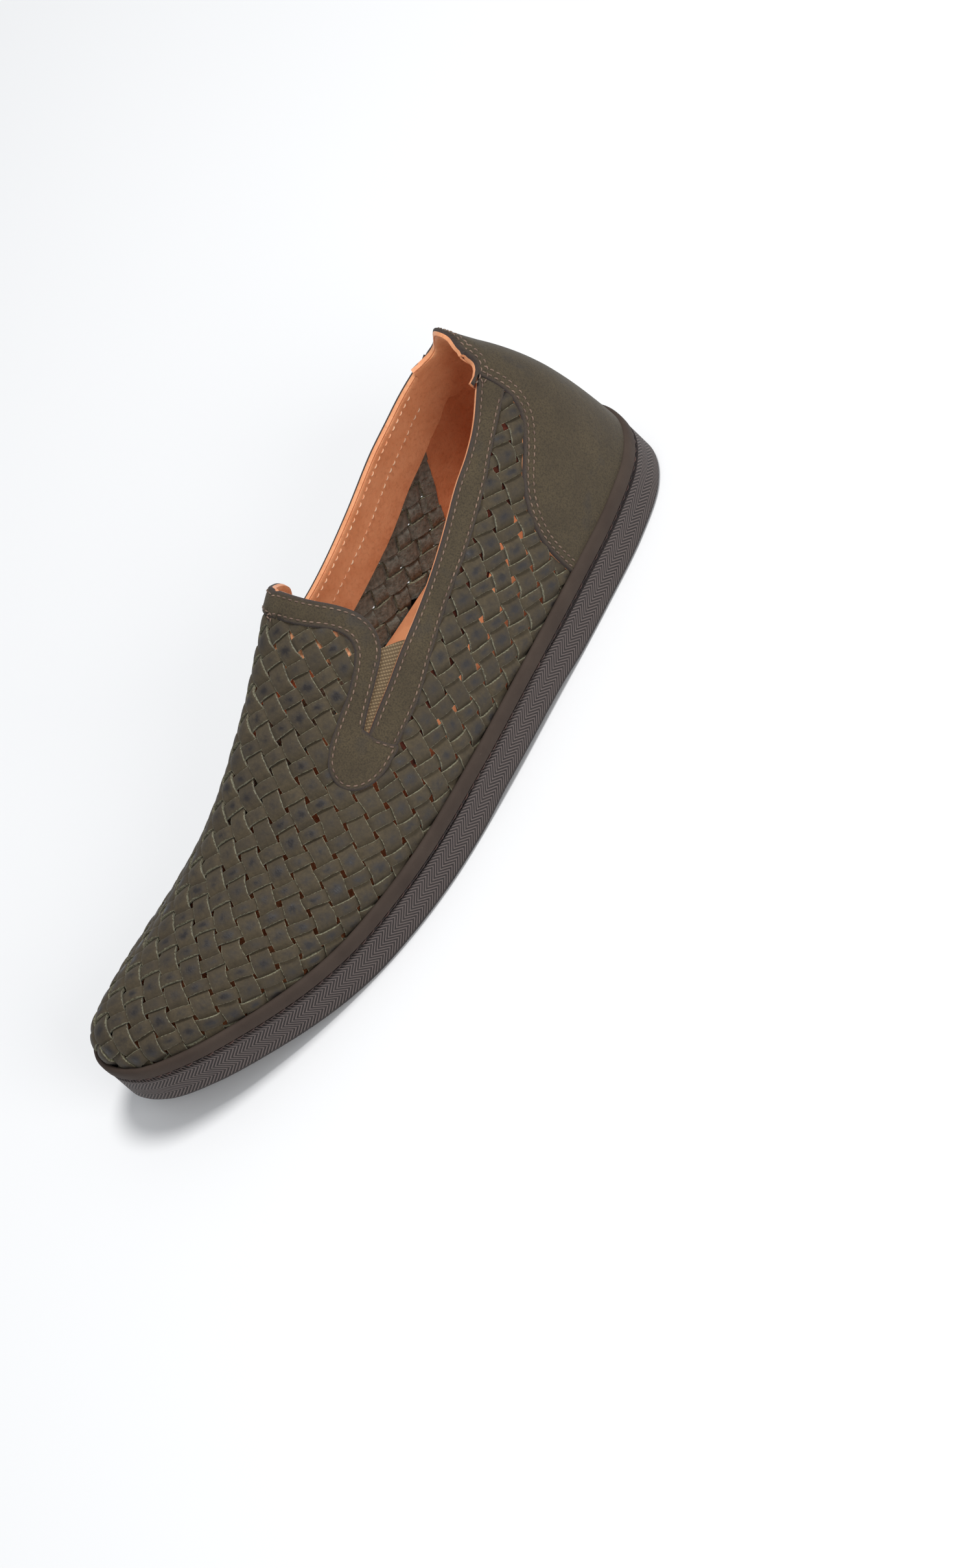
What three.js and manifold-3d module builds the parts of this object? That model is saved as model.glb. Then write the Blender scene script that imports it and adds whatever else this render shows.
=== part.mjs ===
// Woven slip-on shoe, left foot, in millimetres: +Z up, toe towards -Y, outer side +X.
import * as THREE from 'three';
import { mergeVertices } from 'three/addons/utils/BufferGeometryUtils.js';
import Module from 'manifold-3d';

const wasm = await Module();
wasm.setup();
const { Manifold, Mesh } = wasm;

// Main sizes.
const length = 302;
const width = 95;
const height = 102;
const soleThick = 22.5;
const toeSpring = 13.5;
const archRise = 1.2;
const archFrom = 0.27;
const archTo = 0.53;
const archFade = 0.07;
const springFrom = 0.72;
const springRun = 0.33;
const gap = 0.3;
const randDepth = 6.1;
const randInset = 2.2;
const featherInset = 3.4;
const wall = { over: 1.0, under: 1.0, gore: 0.1, goreUnder: 1.2, weave: 0.95, weaveUnder: 1.5 };
const weavePitch = 8.25;
const planeTilt = THREE.MathUtils.degToRad(25);
const tuck = 20;
const insoleThick = 3.5;

// Outline of the sole seen from above: share of the length from the heel, and x as a share
// of the width.
const outlineRows = [
  [0, 0], [0.012, 0.1758], [0.05, 0.2979], [0.12, 0.3789], [0.22, 0.4347], [0.35, 0.4895],
  [0.48, 0.5389], [0.6, 0.56], [0.7, 0.5263], [0.79, 0.4474], [0.87, 0.34], [0.94, 0.2105],
  [0.985, 0.0674], [1, -0.0947], [0.985, -0.2253], [0.93, -0.3179], [0.85, -0.3916],
  [0.75, -0.4368], [0.65, -0.4295], [0.54, -0.3737], [0.42, -0.3316], [0.3, -0.3263],
  [0.18, -0.3474], [0.08, -0.3263], [0.02, -0.2],
];
const toeRow = 13;

// Height of the rand's top edge above the underside: share from the heel, share of soleThick.
const randRows = [
  [0, 1], [0.3, 1], [0.6, 0.9778], [1, 0.9333],
];

// The last, a row per rib: share of the way round from heel to toe, the ridge point (x, y, z)
// as shares of width, length and height,
// then for the outer and the inner side how far out the middle and the shoulder stand
// (share of the way from the ridge to the feather edge) and their heights.
const lastColumns = ['at', 'x', 'y', 'z', 'outMid', 'outMidZ', 'outTop', 'outTopZ',
  'inMid', 'inMidZ', 'inTop', 'inTopZ'];
const lastRows = [
  [0, -0.0105, 0.3907, 1.0588, 0.82, 0.588, 0.42, 0.882, 0.82, 0.588, 0.42, 0.882],
  [0.05, -0.0105, 0.3874, 1.0588, 0.82, 0.588, 0.43, 0.882, 0.84, 0.588, 0.46, 0.882],
  [0.1, -0.0158, 0.3775, 1.0637, 0.83, 0.569, 0.44, 0.863, 0.87, 0.578, 0.55, 0.863],
  [0.15, -0.0211, 0.3576, 1.0686, 0.85, 0.549, 0.48, 0.824, 0.93, 0.559, 0.7, 0.824],
  [0.2, -0.0263, 0.3278, 1.0588, 0.87, 0.51, 0.57, 0.775, 0.98, 0.529, 0.82, 0.784],
  [0.3, -0.0316, 0.2219, 1.0294, 0.91, 0.461, 0.66, 0.716, 1, 0.471, 0.85, 0.725],
  [0.4, -0.0316, 0.1159, 0.9804, 0.93, 0.441, 0.68, 0.686, 1, 0.451, 0.74, 0.716],
  [0.45, -0.0316, 0.0596, 0.9314, 0.92, 0.441, 0.54, 0.775, 0.98, 0.451, 0.58, 0.784],
  [0.5, -0.0316, -0.0066, 0.8284, 0.91, 0.412, 0.51, 0.706, 0.96, 0.422, 0.53, 0.696],
  [0.55, -0.0368, -0.0662, 0.7304, 0.9, 0.387, 0.5, 0.627, 0.95, 0.373, 0.51, 0.603],
  [0.6, -0.0421, -0.1291, 0.6373, 0.9, 0.363, 0.5, 0.559, 0.94, 0.333, 0.5, 0.525],
  [0.65, -0.0474, -0.1887, 0.5637, 0.91, 0.348, 0.5, 0.505, 0.93, 0.304, 0.5, 0.461],
  [0.7, -0.0526, -0.245, 0.5098, 0.92, 0.338, 0.5, 0.471, 0.93, 0.284, 0.5, 0.422],
  [0.75, -0.0632, -0.298, 0.4804, 0.93, 0.338, 0.52, 0.451, 0.93, 0.284, 0.5, 0.402],
  [0.8, -0.0737, -0.3444, 0.4637, 0.93, 0.341, 0.55, 0.441, 0.93, 0.304, 0.5, 0.397],
  [0.85, -0.0842, -0.3841, 0.4559, 0.94, 0.353, 0.6, 0.431, 0.93, 0.324, 0.53, 0.402],
  [0.9, -0.0916, -0.4106, 0.451, 0.94, 0.363, 0.65, 0.425, 0.93, 0.343, 0.58, 0.41],
  [0.95, -0.0947, -0.4272, 0.449, 0.94, 0.37, 0.69, 0.422, 0.94, 0.363, 0.66, 0.416],
  [1, -0.0947, -0.4338, 0.448, 0.94, 0.375, 0.72, 0.42, 0.94, 0.375, 0.72, 0.42],
];

// Edges of the pieces as the side view shows them, from back to front: (y, z) as shares of
// the length and the height.
const topline = [
  [0.4007, 0.848], [0.3599, 0.798], [0.3156, 0.7618], [0.2758, 0.7412], [0.2119, 0.6951],
  [0.1613, 0.6637], [0.1149, 0.6422], [0.0675, 0.6255], [0.0215, 0.5902], [-0.0265, 0.5471],
];
const strapFoot = [
  [0.4089, 0.751], [0.3334, 0.6961], [0.3013, 0.6647], [0.2596, 0.6353], [0.2209, 0.6108],
  [0.1563, 0.5804], [0.0987, 0.5431], [0.0427, 0.4971], [-0.0265, 0.4569],
];
const counterEdge = [
  [0.4007, 0.848], [0.405, 0.7745], [0.4033, 0.7157], [0.3914, 0.6627], [0.3699, 0.6216],
  [0.3318, 0.5608], [0.3119, 0.5118], [0.2987, 0.4588], [0.2881, 0.3873], [0.2841, 0.3137],
  [0.2834, 0.2157], [0.2834, 0.0392],
];
// Top of the heel panel with its tab as the back view shows it: (x, z), shares of width and height.
const heelTab = [
  [0.16, 0.848], [0.128, 0.853], [0.103, 0.877], [0.085, 0.912], [0.067, 0.945], [0.042, 0.973],
  [0, 0.988], [-0.045, 0.975], [-0.084, 0.945], [-0.117, 0.908], [-0.147, 0.872], [-0.178, 0.853],
  [-0.22, 0.848],
];
// The tab flares: wider by this share at its top, and further back by these.
const tabFlare = 0.35;
const tabLean = 1.5;
const tabFlat = 0.06;
const throatEdge = [
  [0.0596, 1.0392], [0.0596, 0.9412], [0.0669, 0.8971], [0.0781, 0.8412], [0.0841, 0.7902],
  [0.0838, 0.7578], [0.0795, 0.7255], [0.0659, 0.6853], [0.0321, 0.6392], [-0.0063, 0.5892],
  [-0.0219, 0.5676],
];
const bandEdge = [
  [-0.0219, 0.5294], [-0.0175, 0.4902], [-0.0139, 0.4598], [-0.0311, 0.449], [-0.0517, 0.4441],
  [-0.0712, 0.4529], [-0.0848, 0.4725], [-0.0914, 0.5], [-0.0884, 0.5333], [-0.0795, 0.5627],
  [-0.0642, 0.5902], [-0.0427, 0.6186], [-0.0209, 0.6441], [0.0017, 0.6686], [0.0185, 0.6922],
  [0.0381, 0.7245], [0.0483, 0.7471], [0.0533, 0.7745], [0.0526, 0.8], [0.0483, 0.8265],
  [0.0387, 0.8598], [0.0311, 0.8922], [0.0281, 0.9216], [0.0281, 1.0392],
];
const goreEdge = [
  [-0.0195, 0.5647], [0.0318, 0.6324], [0.0672, 0.6784], [0.0841, 0.6382], [0.0675, 0.6304],
  [0.0215, 0.5961], [-0.0172, 0.5598],
];

// A value that runs smoothly through the rows of a table.
function along(rows, column, x) {
  const last = rows.length - 1;
  const at = Math.min(Math.max(x, rows[0][0]), rows[last][0]);
  let i = 0;
  while (i < last - 1 && at > rows[i + 1][0]) i += 1;
  const slope = (k) => (k === 0 || k === last ? 0
    : (rows[k + 1][column] - rows[k - 1][column]) / (rows[k + 1][0] - rows[k - 1][0]));
  const h = rows[i + 1][0] - rows[i][0];
  const w = (at - rows[i][0]) / h;
  return (1 + 2 * w) * (1 - w) ** 2 * rows[i][column] + w * (1 - w) ** 2 * h * slope(i)
    + w * w * (3 - 2 * w) * rows[i + 1][column] + w * w * (w - 1) * h * slope(i + 1);
}

const share = (y) => 0.5 - y / length;
const sideView = (rows) => rows.map(([y, z]) => [y * length, z * height]);
const fade = (w) => {
  const held = Math.min(Math.max(w, 0), 1);
  return held * held * (3 - 2 * held);
};

function soleBottom(t) {
  const arch = fade((t - archFrom) / archFade) * fade((archTo - t) / archFade);
  return toeSpring * fade((t - springFrom) / springRun) + archRise * arch;
}

const randTop = (t) => toeSpring * fade((t - springFrom) / springRun)
  + soleThick * along(randRows, 1, t);

// Half outlines from heel to toe, walked by equal steps of their own length.
const outlineLoop = new THREE.CatmullRomCurve3(
  outlineRows.map(([t, x]) => new THREE.Vector3(x * width, (0.5 - t) * length, 0)), true, 'centripetal');
const halfSteps = 400;
const halves = new Map([1, -1].map((side) => {
  const toe = toeRow / outlineRows.length;
  const points = [];
  const walked = [0];
  for (let k = 0; k <= halfSteps; k += 1) {
    const w = k / halfSteps;
    points.push(outlineLoop.getPoint(side > 0 ? toe * w : 1 - (1 - toe) * w));
    if (k > 0) walked.push(walked[k - 1] + points[k].distanceTo(points[k - 1]));
  }
  return [side, { points, walked }];
}));

function outlineAt(side, a) {
  const { points, walked } = halves.get(side);
  const want = Math.min(Math.max(a, 0), 1) * walked[halfSteps];
  let low = 0;
  let high = halfSteps;
  while (high - low > 1) {
    const mid = (low + high) >> 1;
    if (walked[mid] > want) high = mid;
    else low = mid;
  }
  const w = (want - walked[low]) / (walked[high] - walked[low]);
  return points[low].clone().lerp(points[high], w);
}

function outlineInset(side, a, inset) {
  const step = 0.004;
  const run = outlineAt(side, a + step).sub(outlineAt(side, a - step));
  if (a < step / 2 || a > 1 - step / 2) run.set(a < 0.5 ? side : -side, 0, 0);
  run.normalize();
  const out = new THREE.Vector3(-run.y * side, run.x * side, 0);
  return outlineAt(side, a).addScaledVector(out, -inset);
}

// One rib of the last, from below the feather edge up to the ridge.
function ribPoints(side, a, steps) {
  const value = (name) => along(lastRows, lastColumns.indexOf(name), a);
  const foot = outlineInset(side, a, featherInset);
  foot.z = randTop(share(foot.y));
  const ridge = new THREE.Vector3(value('x') * width, value('y') * length, value('z') * height);
  const key = side > 0 ? 'out' : 'in';
  const place = (w, z) => new THREE.Vector3(ridge.x + w * (foot.x - ridge.x),
    ridge.y + w * (foot.y - ridge.y), z);
  const down = (d) => foot.clone().setZ(foot.z - d);
  const top = value(`${key}Top`);
  const topZ = value(`${key}TopZ`) * height;
  const midZ = value(`${key}MidZ`) * height;
  const curve = new THREE.CatmullRomCurve3([down(2 * tuck), down(tuck), foot,
    place(value(`${key}Mid`), midZ), place(top, topZ), ridge,
    place(-top, topZ)], false, 'centripetal');
  const points = [];
  for (let k = 0; k <= steps; k += 1) points.push(curve.getPoint((1 + 4 * (k / steps)) / 6));
  return points;
}

// Both sides of the last as grids of points and outward normals.
const ribCount = 96;
const levelCount = 32;
function lastGrid(side) {
  const points = [];
  for (let i = 0; i <= ribCount; i += 1) points.push(ribPoints(side, i / ribCount, levelCount));
  const normals = points.map((rib, i) => rib.map((_, j) => {
    const i0 = Math.max(i - 1, 0);
    const i1 = Math.min(i + 1, ribCount);
    const j0 = Math.max(j - 1, 0);
    const j1 = Math.min(j + 1, levelCount);
    const run = points[i1][j].clone().sub(points[i0][j]);
    const rise = points[i][j1].clone().sub(points[i][j0]);
    if (j === levelCount) return new THREE.Vector3(0, run.z, -run.y).normalize();
    if (i === 0 || i === ribCount) return new THREE.Vector3(0, rise.z, -rise.y)
      .multiplyScalar(i === 0 ? 1 : -1).normalize();
    return run.cross(rise).multiplyScalar(-side).normalize();
  }));
  for (const rib of normals) {
    for (const normal of rib) if (normal.z < -0.4) normal.multiplyScalar(-1);
  }
  return { points, normals };
}
const grids = new Map([1, -1].map((side) => [side, lastGrid(side)]));

function blend(table, i, j) {
  const i0 = Math.min(Math.floor(i), ribCount - 1);
  const j0 = Math.min(Math.floor(j), levelCount - 1);
  const low = table[i0][j0].clone().lerp(table[i0 + 1][j0], i - i0);
  const high = table[i0][j0 + 1].clone().lerp(table[i0 + 1][j0 + 1], i - i0);
  return low.lerp(high, j - j0);
}

function lastPoint(side, i, j, off) {
  const { points, normals } = grids.get(side);
  return blend(points, i, j).addScaledVector(blend(normals, i, j).normalize(), off);
}

// A closed solid from vertices and faces through the cutting library, and back again.
function toSolid(points, faces) {
  const geometry = new THREE.BufferGeometry().setFromPoints(points);
  geometry.setIndex(faces.flat());
  return geometryToSolid(geometry);
}

function geometryToSolid(source) {
  const bare = new THREE.BufferGeometry();
  bare.setAttribute('position', source.getAttribute('position'));
  if (source.index) bare.setIndex(source.index);
  const merged = mergeVertices(bare, 1e-4);
  const index = merged.index.array;
  const kept = [];
  for (let k = 0; k < index.length; k += 3) {
    const [a, b, c] = [index[k], index[k + 1], index[k + 2]];
    if (a !== b && b !== c && a !== c) kept.push(a, b, c);
  }
  const solid = new Manifold(new Mesh({
    numProp: 3,
    vertProperties: new Float32Array(merged.getAttribute('position').array),
    triVerts: new Uint32Array(kept),
  }));
  return solid;
}

function toGeometry(solid, move = () => {}) {
  const mesh = solid.getMesh();
  const geometry = new THREE.BufferGeometry();
  const values = new Float32Array(mesh.numVert * 3);
  const point = new THREE.Vector3();
  for (let k = 0; k < mesh.numVert; k += 1) {
    point.fromArray(mesh.vertProperties, k * mesh.numProp);
    move(point);
    point.toArray(values, k * 3);
  }
  geometry.setAttribute('position', new THREE.BufferAttribute(values, 3));
  geometry.setIndex([...mesh.triVerts]);
  return geometry;
}

const quad = (a, b, c, d) => [[a, b, c], [a, c, d]];

// A shell of the whole last between two offsets, open underneath.
function shell(over, under, ribs, levels, levelFrom) {
  const points = [];
  const index = new Map();
  const vertex = (layer, side, i, j) => {
    const onSeam = j === levels || i === 0 || i === ribs;
    const key = `${layer} ${onSeam ? 1 : side} ${i} ${j}`;
    if (!index.has(key)) {
      const level = levelFrom + (levelCount - levelFrom) * (j / levels);
      index.set(key, points.length);
      points.push(lastPoint(onSeam ? 1 : side, (i / ribs) * ribCount, level,
        layer > 0 ? over : -under));
    }
    return index.get(key);
  };
  const faces = [];
  for (const side of [1, -1]) {
    for (let i = 0; i < ribs; i += 1) {
      for (let j = 0; j < levels; j += 1) {
        for (const layer of [1, -1]) {
          const ring = [vertex(layer, side, i, j), vertex(layer, side, i + 1, j),
            vertex(layer, side, i + 1, j + 1), vertex(layer, side, i, j + 1)];
          if (side * layer > 0) ring.reverse();
          faces.push(...quad(...ring));
        }
      }
      const rim = [vertex(1, side, i, 0), vertex(1, side, i + 1, 0), vertex(-1, side, i + 1, 0),
        vertex(-1, side, i, 0)];
      if (side < 0) rim.reverse();
      faces.push(...quad(...rim));
    }
  }
  return toSolid(points, faces);
}

// A bar across the shoe whose outline is a closed row of side view points.
function crossBar(outline, from, to) {
  const shape = new THREE.Shape(outline.map(([y, z]) => new THREE.Vector2(y, z)));
  const geometry = new THREE.ExtrudeGeometry(shape, { depth: to - from, bevelEnabled: false,
    steps: 1, curveSegments: 1 });
  geometry.applyMatrix4(new THREE.Matrix4().makeBasis(new THREE.Vector3(0, 1, 0),
    new THREE.Vector3(0, 0, 1), new THREE.Vector3(1, 0, 0)).setPosition(from, 0, 0));
  return geometryToSolid(geometry);
}

// A bar along the shoe whose outline is a closed row of back view points (x, z).
function backBar(outline) {
  const bar = crossBar(outline, 0, length);
  return bar.transform([0, 1, 0, 0, 1, 0, 0, 0, 0, 0, 1, 0, 0, 0, 0, 1]);
}

function smooth(rows, steps) {
  const curve = new THREE.SplineCurve(rows.map(([y, z]) => new THREE.Vector2(y, z)));
  return curve.getPoints(steps).map((p) => [p.x, p.y]);
}

// A closed row of points moved outwards all round.
function grown(outline, by) {
  const area = outline.reduce((sum, [y, z], k) => {
    const [y2, z2] = outline[(k + 1) % outline.length];
    return sum + y * z2 - y2 * z;
  }, 0);
  const turn = area > 0 ? 1 : -1;
  return outline.map((p, k) => {
    const before = outline[(k + outline.length - 1) % outline.length];
    const after = outline[(k + 1) % outline.length];
    const n1 = new THREE.Vector2(p[1] - before[1], before[0] - p[0]).normalize();
    const n2 = new THREE.Vector2(after[1] - p[1], p[0] - after[0]).normalize();
    const sum = n1.add(n2);
    const reach = (2 * by * turn) / Math.max(sum.lengthSq(), 1);
    return [p[0] + sum.x * reach, p[1] + sum.y * reach];
  });
}

// How far the cutting bars reach past the shoe.
const wide = width;
const above = 1.25 * height;
const behind = 0.55 * length;

const counterLine = smooth(sideView(counterEdge), 15);
const toplineCurve = smooth(sideView(topline), 12);
const strapCurve = smooth(sideView(strapFoot), 11);
const throatCurve = smooth(sideView(throatEdge), 16);
const bandCurve = smooth(sideView(bandEdge), 30);
const tabCurve = smooth(heelTab.map(([x, z]) => [x * width, z * height]), 18);

const topCorner = counterLine[0];
const counterOutline = [...counterLine, [behind, counterLine.at(-1)[1]], [behind, above],
  [topCorner[0], above]];
const tabOutline = [[wide, tabCurve[0][1]], ...tabCurve, [-wide, tabCurve.at(-1)[1]], [-wide, 0],
  [wide, 0]];
const strapOutline = [...toplineCurve, ...strapCurve.slice().reverse()];
const bandOutline = [...throatCurve, ...bandCurve];
const goreOutline = sideView(goreEdge);
const mouthOutline = [[throatCurve[0][0], above], ...throatCurve,
  ...toplineCurve.slice().reverse(), [topCorner[0], above]];

// Rings that follow the outline: each row is an inset from it and a height for a share.
function ringLoop(steps, inset, height) {
  const loop = [];
  const add = (side, k) => {
    const p = outlineInset(side, k / steps, inset);
    loop.push(p.setZ(height(share(p.y))));
  };
  for (let k = 0; k <= steps; k += 1) add(1, k);
  for (let k = steps - 1; k > 0; k -= 1) add(-1, k);
  return loop;
}

function ringSolid(steps, rows, closed) {
  const loops = rows.map(([inset, height]) => ringLoop(steps, inset, height));
  const n = 2 * steps;
  const faces = [];
  const joins = closed ? loops.length : loops.length - 1;
  for (let r = 0; r < joins; r += 1) {
    const s = (r + 1) % loops.length;
    for (let k = 0; k < n; k += 1) {
      const l = (k + 1) % n;
      faces.push(...quad(r * n + l, r * n + k, s * n + k, s * n + l));
    }
  }
  if (!closed) {
    const cap = (r, up) => {
      for (let k = 0; k < steps; k += 1) {
        const ring = [r * n + k, r * n + ((n - k) % n), r * n + n - k - 1, r * n + k + 1];
        const kept = ring.filter((v, m) => ring.indexOf(v) === m);
        if (!up) kept.reverse();
        if (kept.length === 3) faces.push(kept);
        else faces.push(...quad(...kept));
      }
    };
    cap(0, false);
    cap(loops.length - 1, true);
  }
  return toSolid(loops.flat(), faces);
}

const fromGround = (h) => (t) => soleBottom(t) + h;
const fromRand = (h) => (t) => randTop(t) + h;
const seat = -randDepth - gap;
const soleRows = [[1.8, fromGround(0)], [0.3, fromGround(1.2)], [0, fromGround(4.4)],
  [0.7, fromGround(5)], [0.7, fromRand(seat - 1)], [0.3, fromRand(seat - 0.5)],
  [0.9, fromRand(seat)]];
const randProfile = [[1.2, fromRand(-randDepth)], [0.2, fromRand(-0.82 * randDepth)],
  [0.1, fromRand(-0.43 * randDepth)], [0.8, fromRand(-0.07 * randDepth)], [1.6, fromRand(0)],
  [randInset, fromRand(-0.1 * randDepth)], [randInset, fromRand(-randDepth)]];
const soleSteps = 30;

// The room the wall may take: inside the rand and everything above its top edge.
const wellInset = randInset + gap;
const wellReach = -14;
const well = ringSolid(soleSteps, [[wellInset, fromRand(-randDepth)],
  [wellInset, fromRand(-0.07 * randDepth)], [1.2, fromRand(gap)], [wellReach, fromRand(gap)],
  [wellReach, () => above]], false);

const overlayShell = shell(wall.over, wall.under, 40, 10, 4).intersect(well);
const goreShell = shell(wall.gore, wall.goreUnder, 32, 10, 10);

const bar = (outline, from = -wide, to = wide) => crossBar(outline, from, to);
const room = (outline, from = -wide, to = wide) => crossBar(grown(outline, gap), from, to);

const mouth = bar(mouthOutline);
const counterSolid = overlayShell.intersect(bar(counterOutline)).intersect(backBar(tabOutline));
const bandSolid = overlayShell.intersect(bar(bandOutline));
const strapCut = room(counterOutline).add(room(bandOutline));
const strapSolid = (side) => overlayShell
  .intersect(bar(strapOutline, side > 0 ? 0 : -wide, side > 0 ? wide : 0)).subtract(strapCut);
const goreCut = room(bandOutline).add(room(strapOutline));
const goreSolid = (side) => goreShell
  .intersect(bar(goreOutline, side > 0 ? 0 : -wide, side > 0 ? wide : 0)).subtract(goreCut);

// Sections of the last by planes that lean with the instep: the weave is laid out on them.
const leanOf = (p) => -p.y * Math.cos(planeTilt) - p.z * Math.sin(planeTilt);

// The line the sections hang from: along the ridge and down the middle of the toe.
const spine = [];
for (let i = 8; i <= ribCount; i += 1) spine.push({ i, j: levelCount });
for (let j = levelCount - 1; j >= 0; j -= 1) spine.push({ i: ribCount, j });
spine.forEach((node, k) => {
  const p = lastPoint(1, node.i, node.j, 0);
  node.lean = leanOf(p);
  node.run = k ? spine[k - 1].run + p.distanceTo(spine[k - 1].p) : 0;
  node.p = p;
});

function section(side, run) {
  let k = 1;
  while (k < spine.length - 1 && spine[k].run < run) k += 1;
  const w = (run - spine[k - 1].run) / (spine[k].run - spine[k - 1].run);
  const lean = spine[k - 1].lean + w * (spine[k].lean - spine[k - 1].lean);
  const start = { i: spine[k - 1].i + w * (spine[k].i - spine[k - 1].i),
    j: spine[k - 1].j + w * (spine[k].j - spine[k - 1].j) };
  const nodes = [start];
  const { points } = grids.get(side);
  for (let j = Math.ceil(start.j) - 1; j >= 0; j -= 1) {
    let i = 0;
    while (i < ribCount && leanOf(points[i + 1][j]) < lean) i += 1;
    if (i === ribCount || leanOf(points[0][j]) > lean) continue;
    const a = leanOf(points[i][j]);
    const b = leanOf(points[i + 1][j]);
    nodes.push({ i: i + (lean - a) / (b - a), j });
  }
  nodes.forEach((node, n) => {
    node.p = lastPoint(side, node.i, node.j, 0);
    node.girth = n ? nodes[n - 1].girth + node.p.distanceTo(nodes[n - 1].p) : 0;
  });
  return nodes;
}

const sections = new Map();
function weavePoint(run, girth, off) {
  const side = girth < 0 ? -1 : 1;
  const key = `${side} ${run.toFixed(3)}`;
  if (!sections.has(key)) sections.set(key, section(side, run));
  const nodes = sections.get(key);
  const want = Math.abs(girth);
  if (want > nodes.at(-1).girth) return null;
  let n = 1;
  while (n < nodes.length - 1 && nodes[n].girth < want) n += 1;
  const w = (want - nodes[n - 1].girth) / (nodes[n].girth - nodes[n - 1].girth);
  return lastPoint(side, nodes[n - 1].i + w * (nodes[n].i - nodes[n - 1].i),
    nodes[n - 1].j + w * (nodes[n].j - nodes[n - 1].j), off);
}

// Where the weave stands open: the band of heights and lengths that shows gaps on each side.
const gapZones = {
  outer: { back: 0.22, front: -0.13, over: 4.5, under: 6.5 },
  inner: { back: 0.17, front: 0.04, over: 5, under: 9 },
};
const gapReach = 0.2;
const strapRise = sideView(strapFoot).reverse();
function opensAt(p) {
  const zone = p.x > 0 ? gapZones.outer : gapZones.inner;
  if (p.y > zone.back * length || p.y < zone.front * length) return false;
  const high = p.y > strapRise[0][0] ? along(strapRise, 1, p.y) - zone.under : 0.41 * height;
  return p.z > randTop(share(p.y)) + zone.over && p.z < high;
}

// The woven wall: a lattice of tiles, each a strip crossing over the other, low at the corners.
const half = weavePitch / Math.SQRT2;
const weaveStart = 26;
const weaveSpan = Math.ceil((spine.at(-1).run + 1.6 * height) / (2 * half));
const crown = 0.24;
function weaveSheet() {
  const points = [];
  const index = new Map();
  const vertex = (u, v, off) => {
    const key = `${u.toFixed(2)} ${v.toFixed(2)} ${off}`;
    if (!index.has(key)) {
      const run = weaveStart + (u + v) * half;
      const inRange = run > 0 && run < spine.at(-1).run;
      const p = inRange ? weavePoint(run, (u - v) * half, off) : null;
      index.set(key, p ? points.push(p) - 1 : -1);
    }
    return index.get(key);
  };
  const ways = [[0, 0], [1, 0], [1, 1], [0, 1]];
  const cells = [];
  const found = new Set();
  for (let u = -weaveSpan; u < weaveSpan; u += 1) {
    for (let v = -weaveSpan; v < weaveSpan; v += 1) {
      const low = ways.map(([p, q]) => vertex(u + p, v + q, 0));
      if (low.includes(-1)) continue;
      found.add(`${u} ${v}`);
      cells.push([u, v]);
    }
  }
  const open = new Map();
  const isOpen = (u, v) => {
    const key = `${u} ${v}`;
    if (!open.has(key)) open.set(key, opensAt(points[vertex(u, v, 0)]));
    return open.get(key);
  };
  const faces = [];
  for (const [u, v] of cells) {
    const rim = [];
    ways.forEach(([p, q], k) => {
      const [pb, qb] = ways[(k + 3) % 4];
      const [pa, qa] = ways[(k + 1) % 4];
      const tag = (u + v) % 2 === 0 ? p : q;
      if (!isOpen(u + p, v + q)) rim.push({ at: [u + p, v + q], tag, corner: k });
      else {
        rim.push({ at: [u + p + (pb - p) * gapReach, v + q + (qb - q) * gapReach], tag, cut: true });
        rim.push({ at: [u + p + (pa - p) * gapReach, v + q + (qa - q) * gapReach], tag });
      }
    });
    const tops = [-1, 1].map((s) => ((u + v) % 2 === 0
      ? vertex(u + 0.5 + s * crown, v + 0.5, wall.weave)
      : vertex(u + 0.5, v + 0.5 + s * crown, wall.weave)));
    const over = rim.map(({ at }) => vertex(...at, 0));
    const under = rim.map(({ at }) => vertex(...at, -wall.weaveUnder));
    rim.forEach((node, k) => {
      const l = (k + 1) % rim.length;
      const next = rim[l];
      if (node.tag === next.tag) faces.push([over[k], tops[node.tag], over[l]]);
      else faces.push(...quad(over[k], tops[node.tag], tops[next.tag], over[l]));
      if (k > 1) faces.push([under[0], under[k - 1], under[k]]);
      const edge = !node.cut && !found.has(neighbour(u, v, node.at, next.at));
      if (node.cut || edge) faces.push(...quad(over[k], over[l], under[l], under[k]));
    });
  }
  return toSolid(points, faces);
}

// The tile on the other side of a tile's edge.
function neighbour(u, v, from, to) {
  const x = (from[0] + to[0]) / 2 - u - 0.5;
  const y = (from[1] + to[1]) / 2 - v - 0.5;
  return Math.abs(x) > Math.abs(y) ? `${u + Math.sign(x)} ${v}` : `${u} ${v + Math.sign(y)}`;
}

const upperSolid = weaveSheet().intersect(well)
  .subtract(mouth).subtract(room(counterOutline)).subtract(room(strapOutline))
  .subtract(room(bandOutline)).subtract(room(goreOutline));

const insoleInset = featherInset + wall.weaveUnder + 1;
const insoleRows = [[insoleInset, fromRand(-randDepth)],
  [insoleInset, fromRand(insoleThick - 1 - randDepth)],
  [insoleInset + 0.8, fromRand(insoleThick - randDepth)]];

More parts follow.
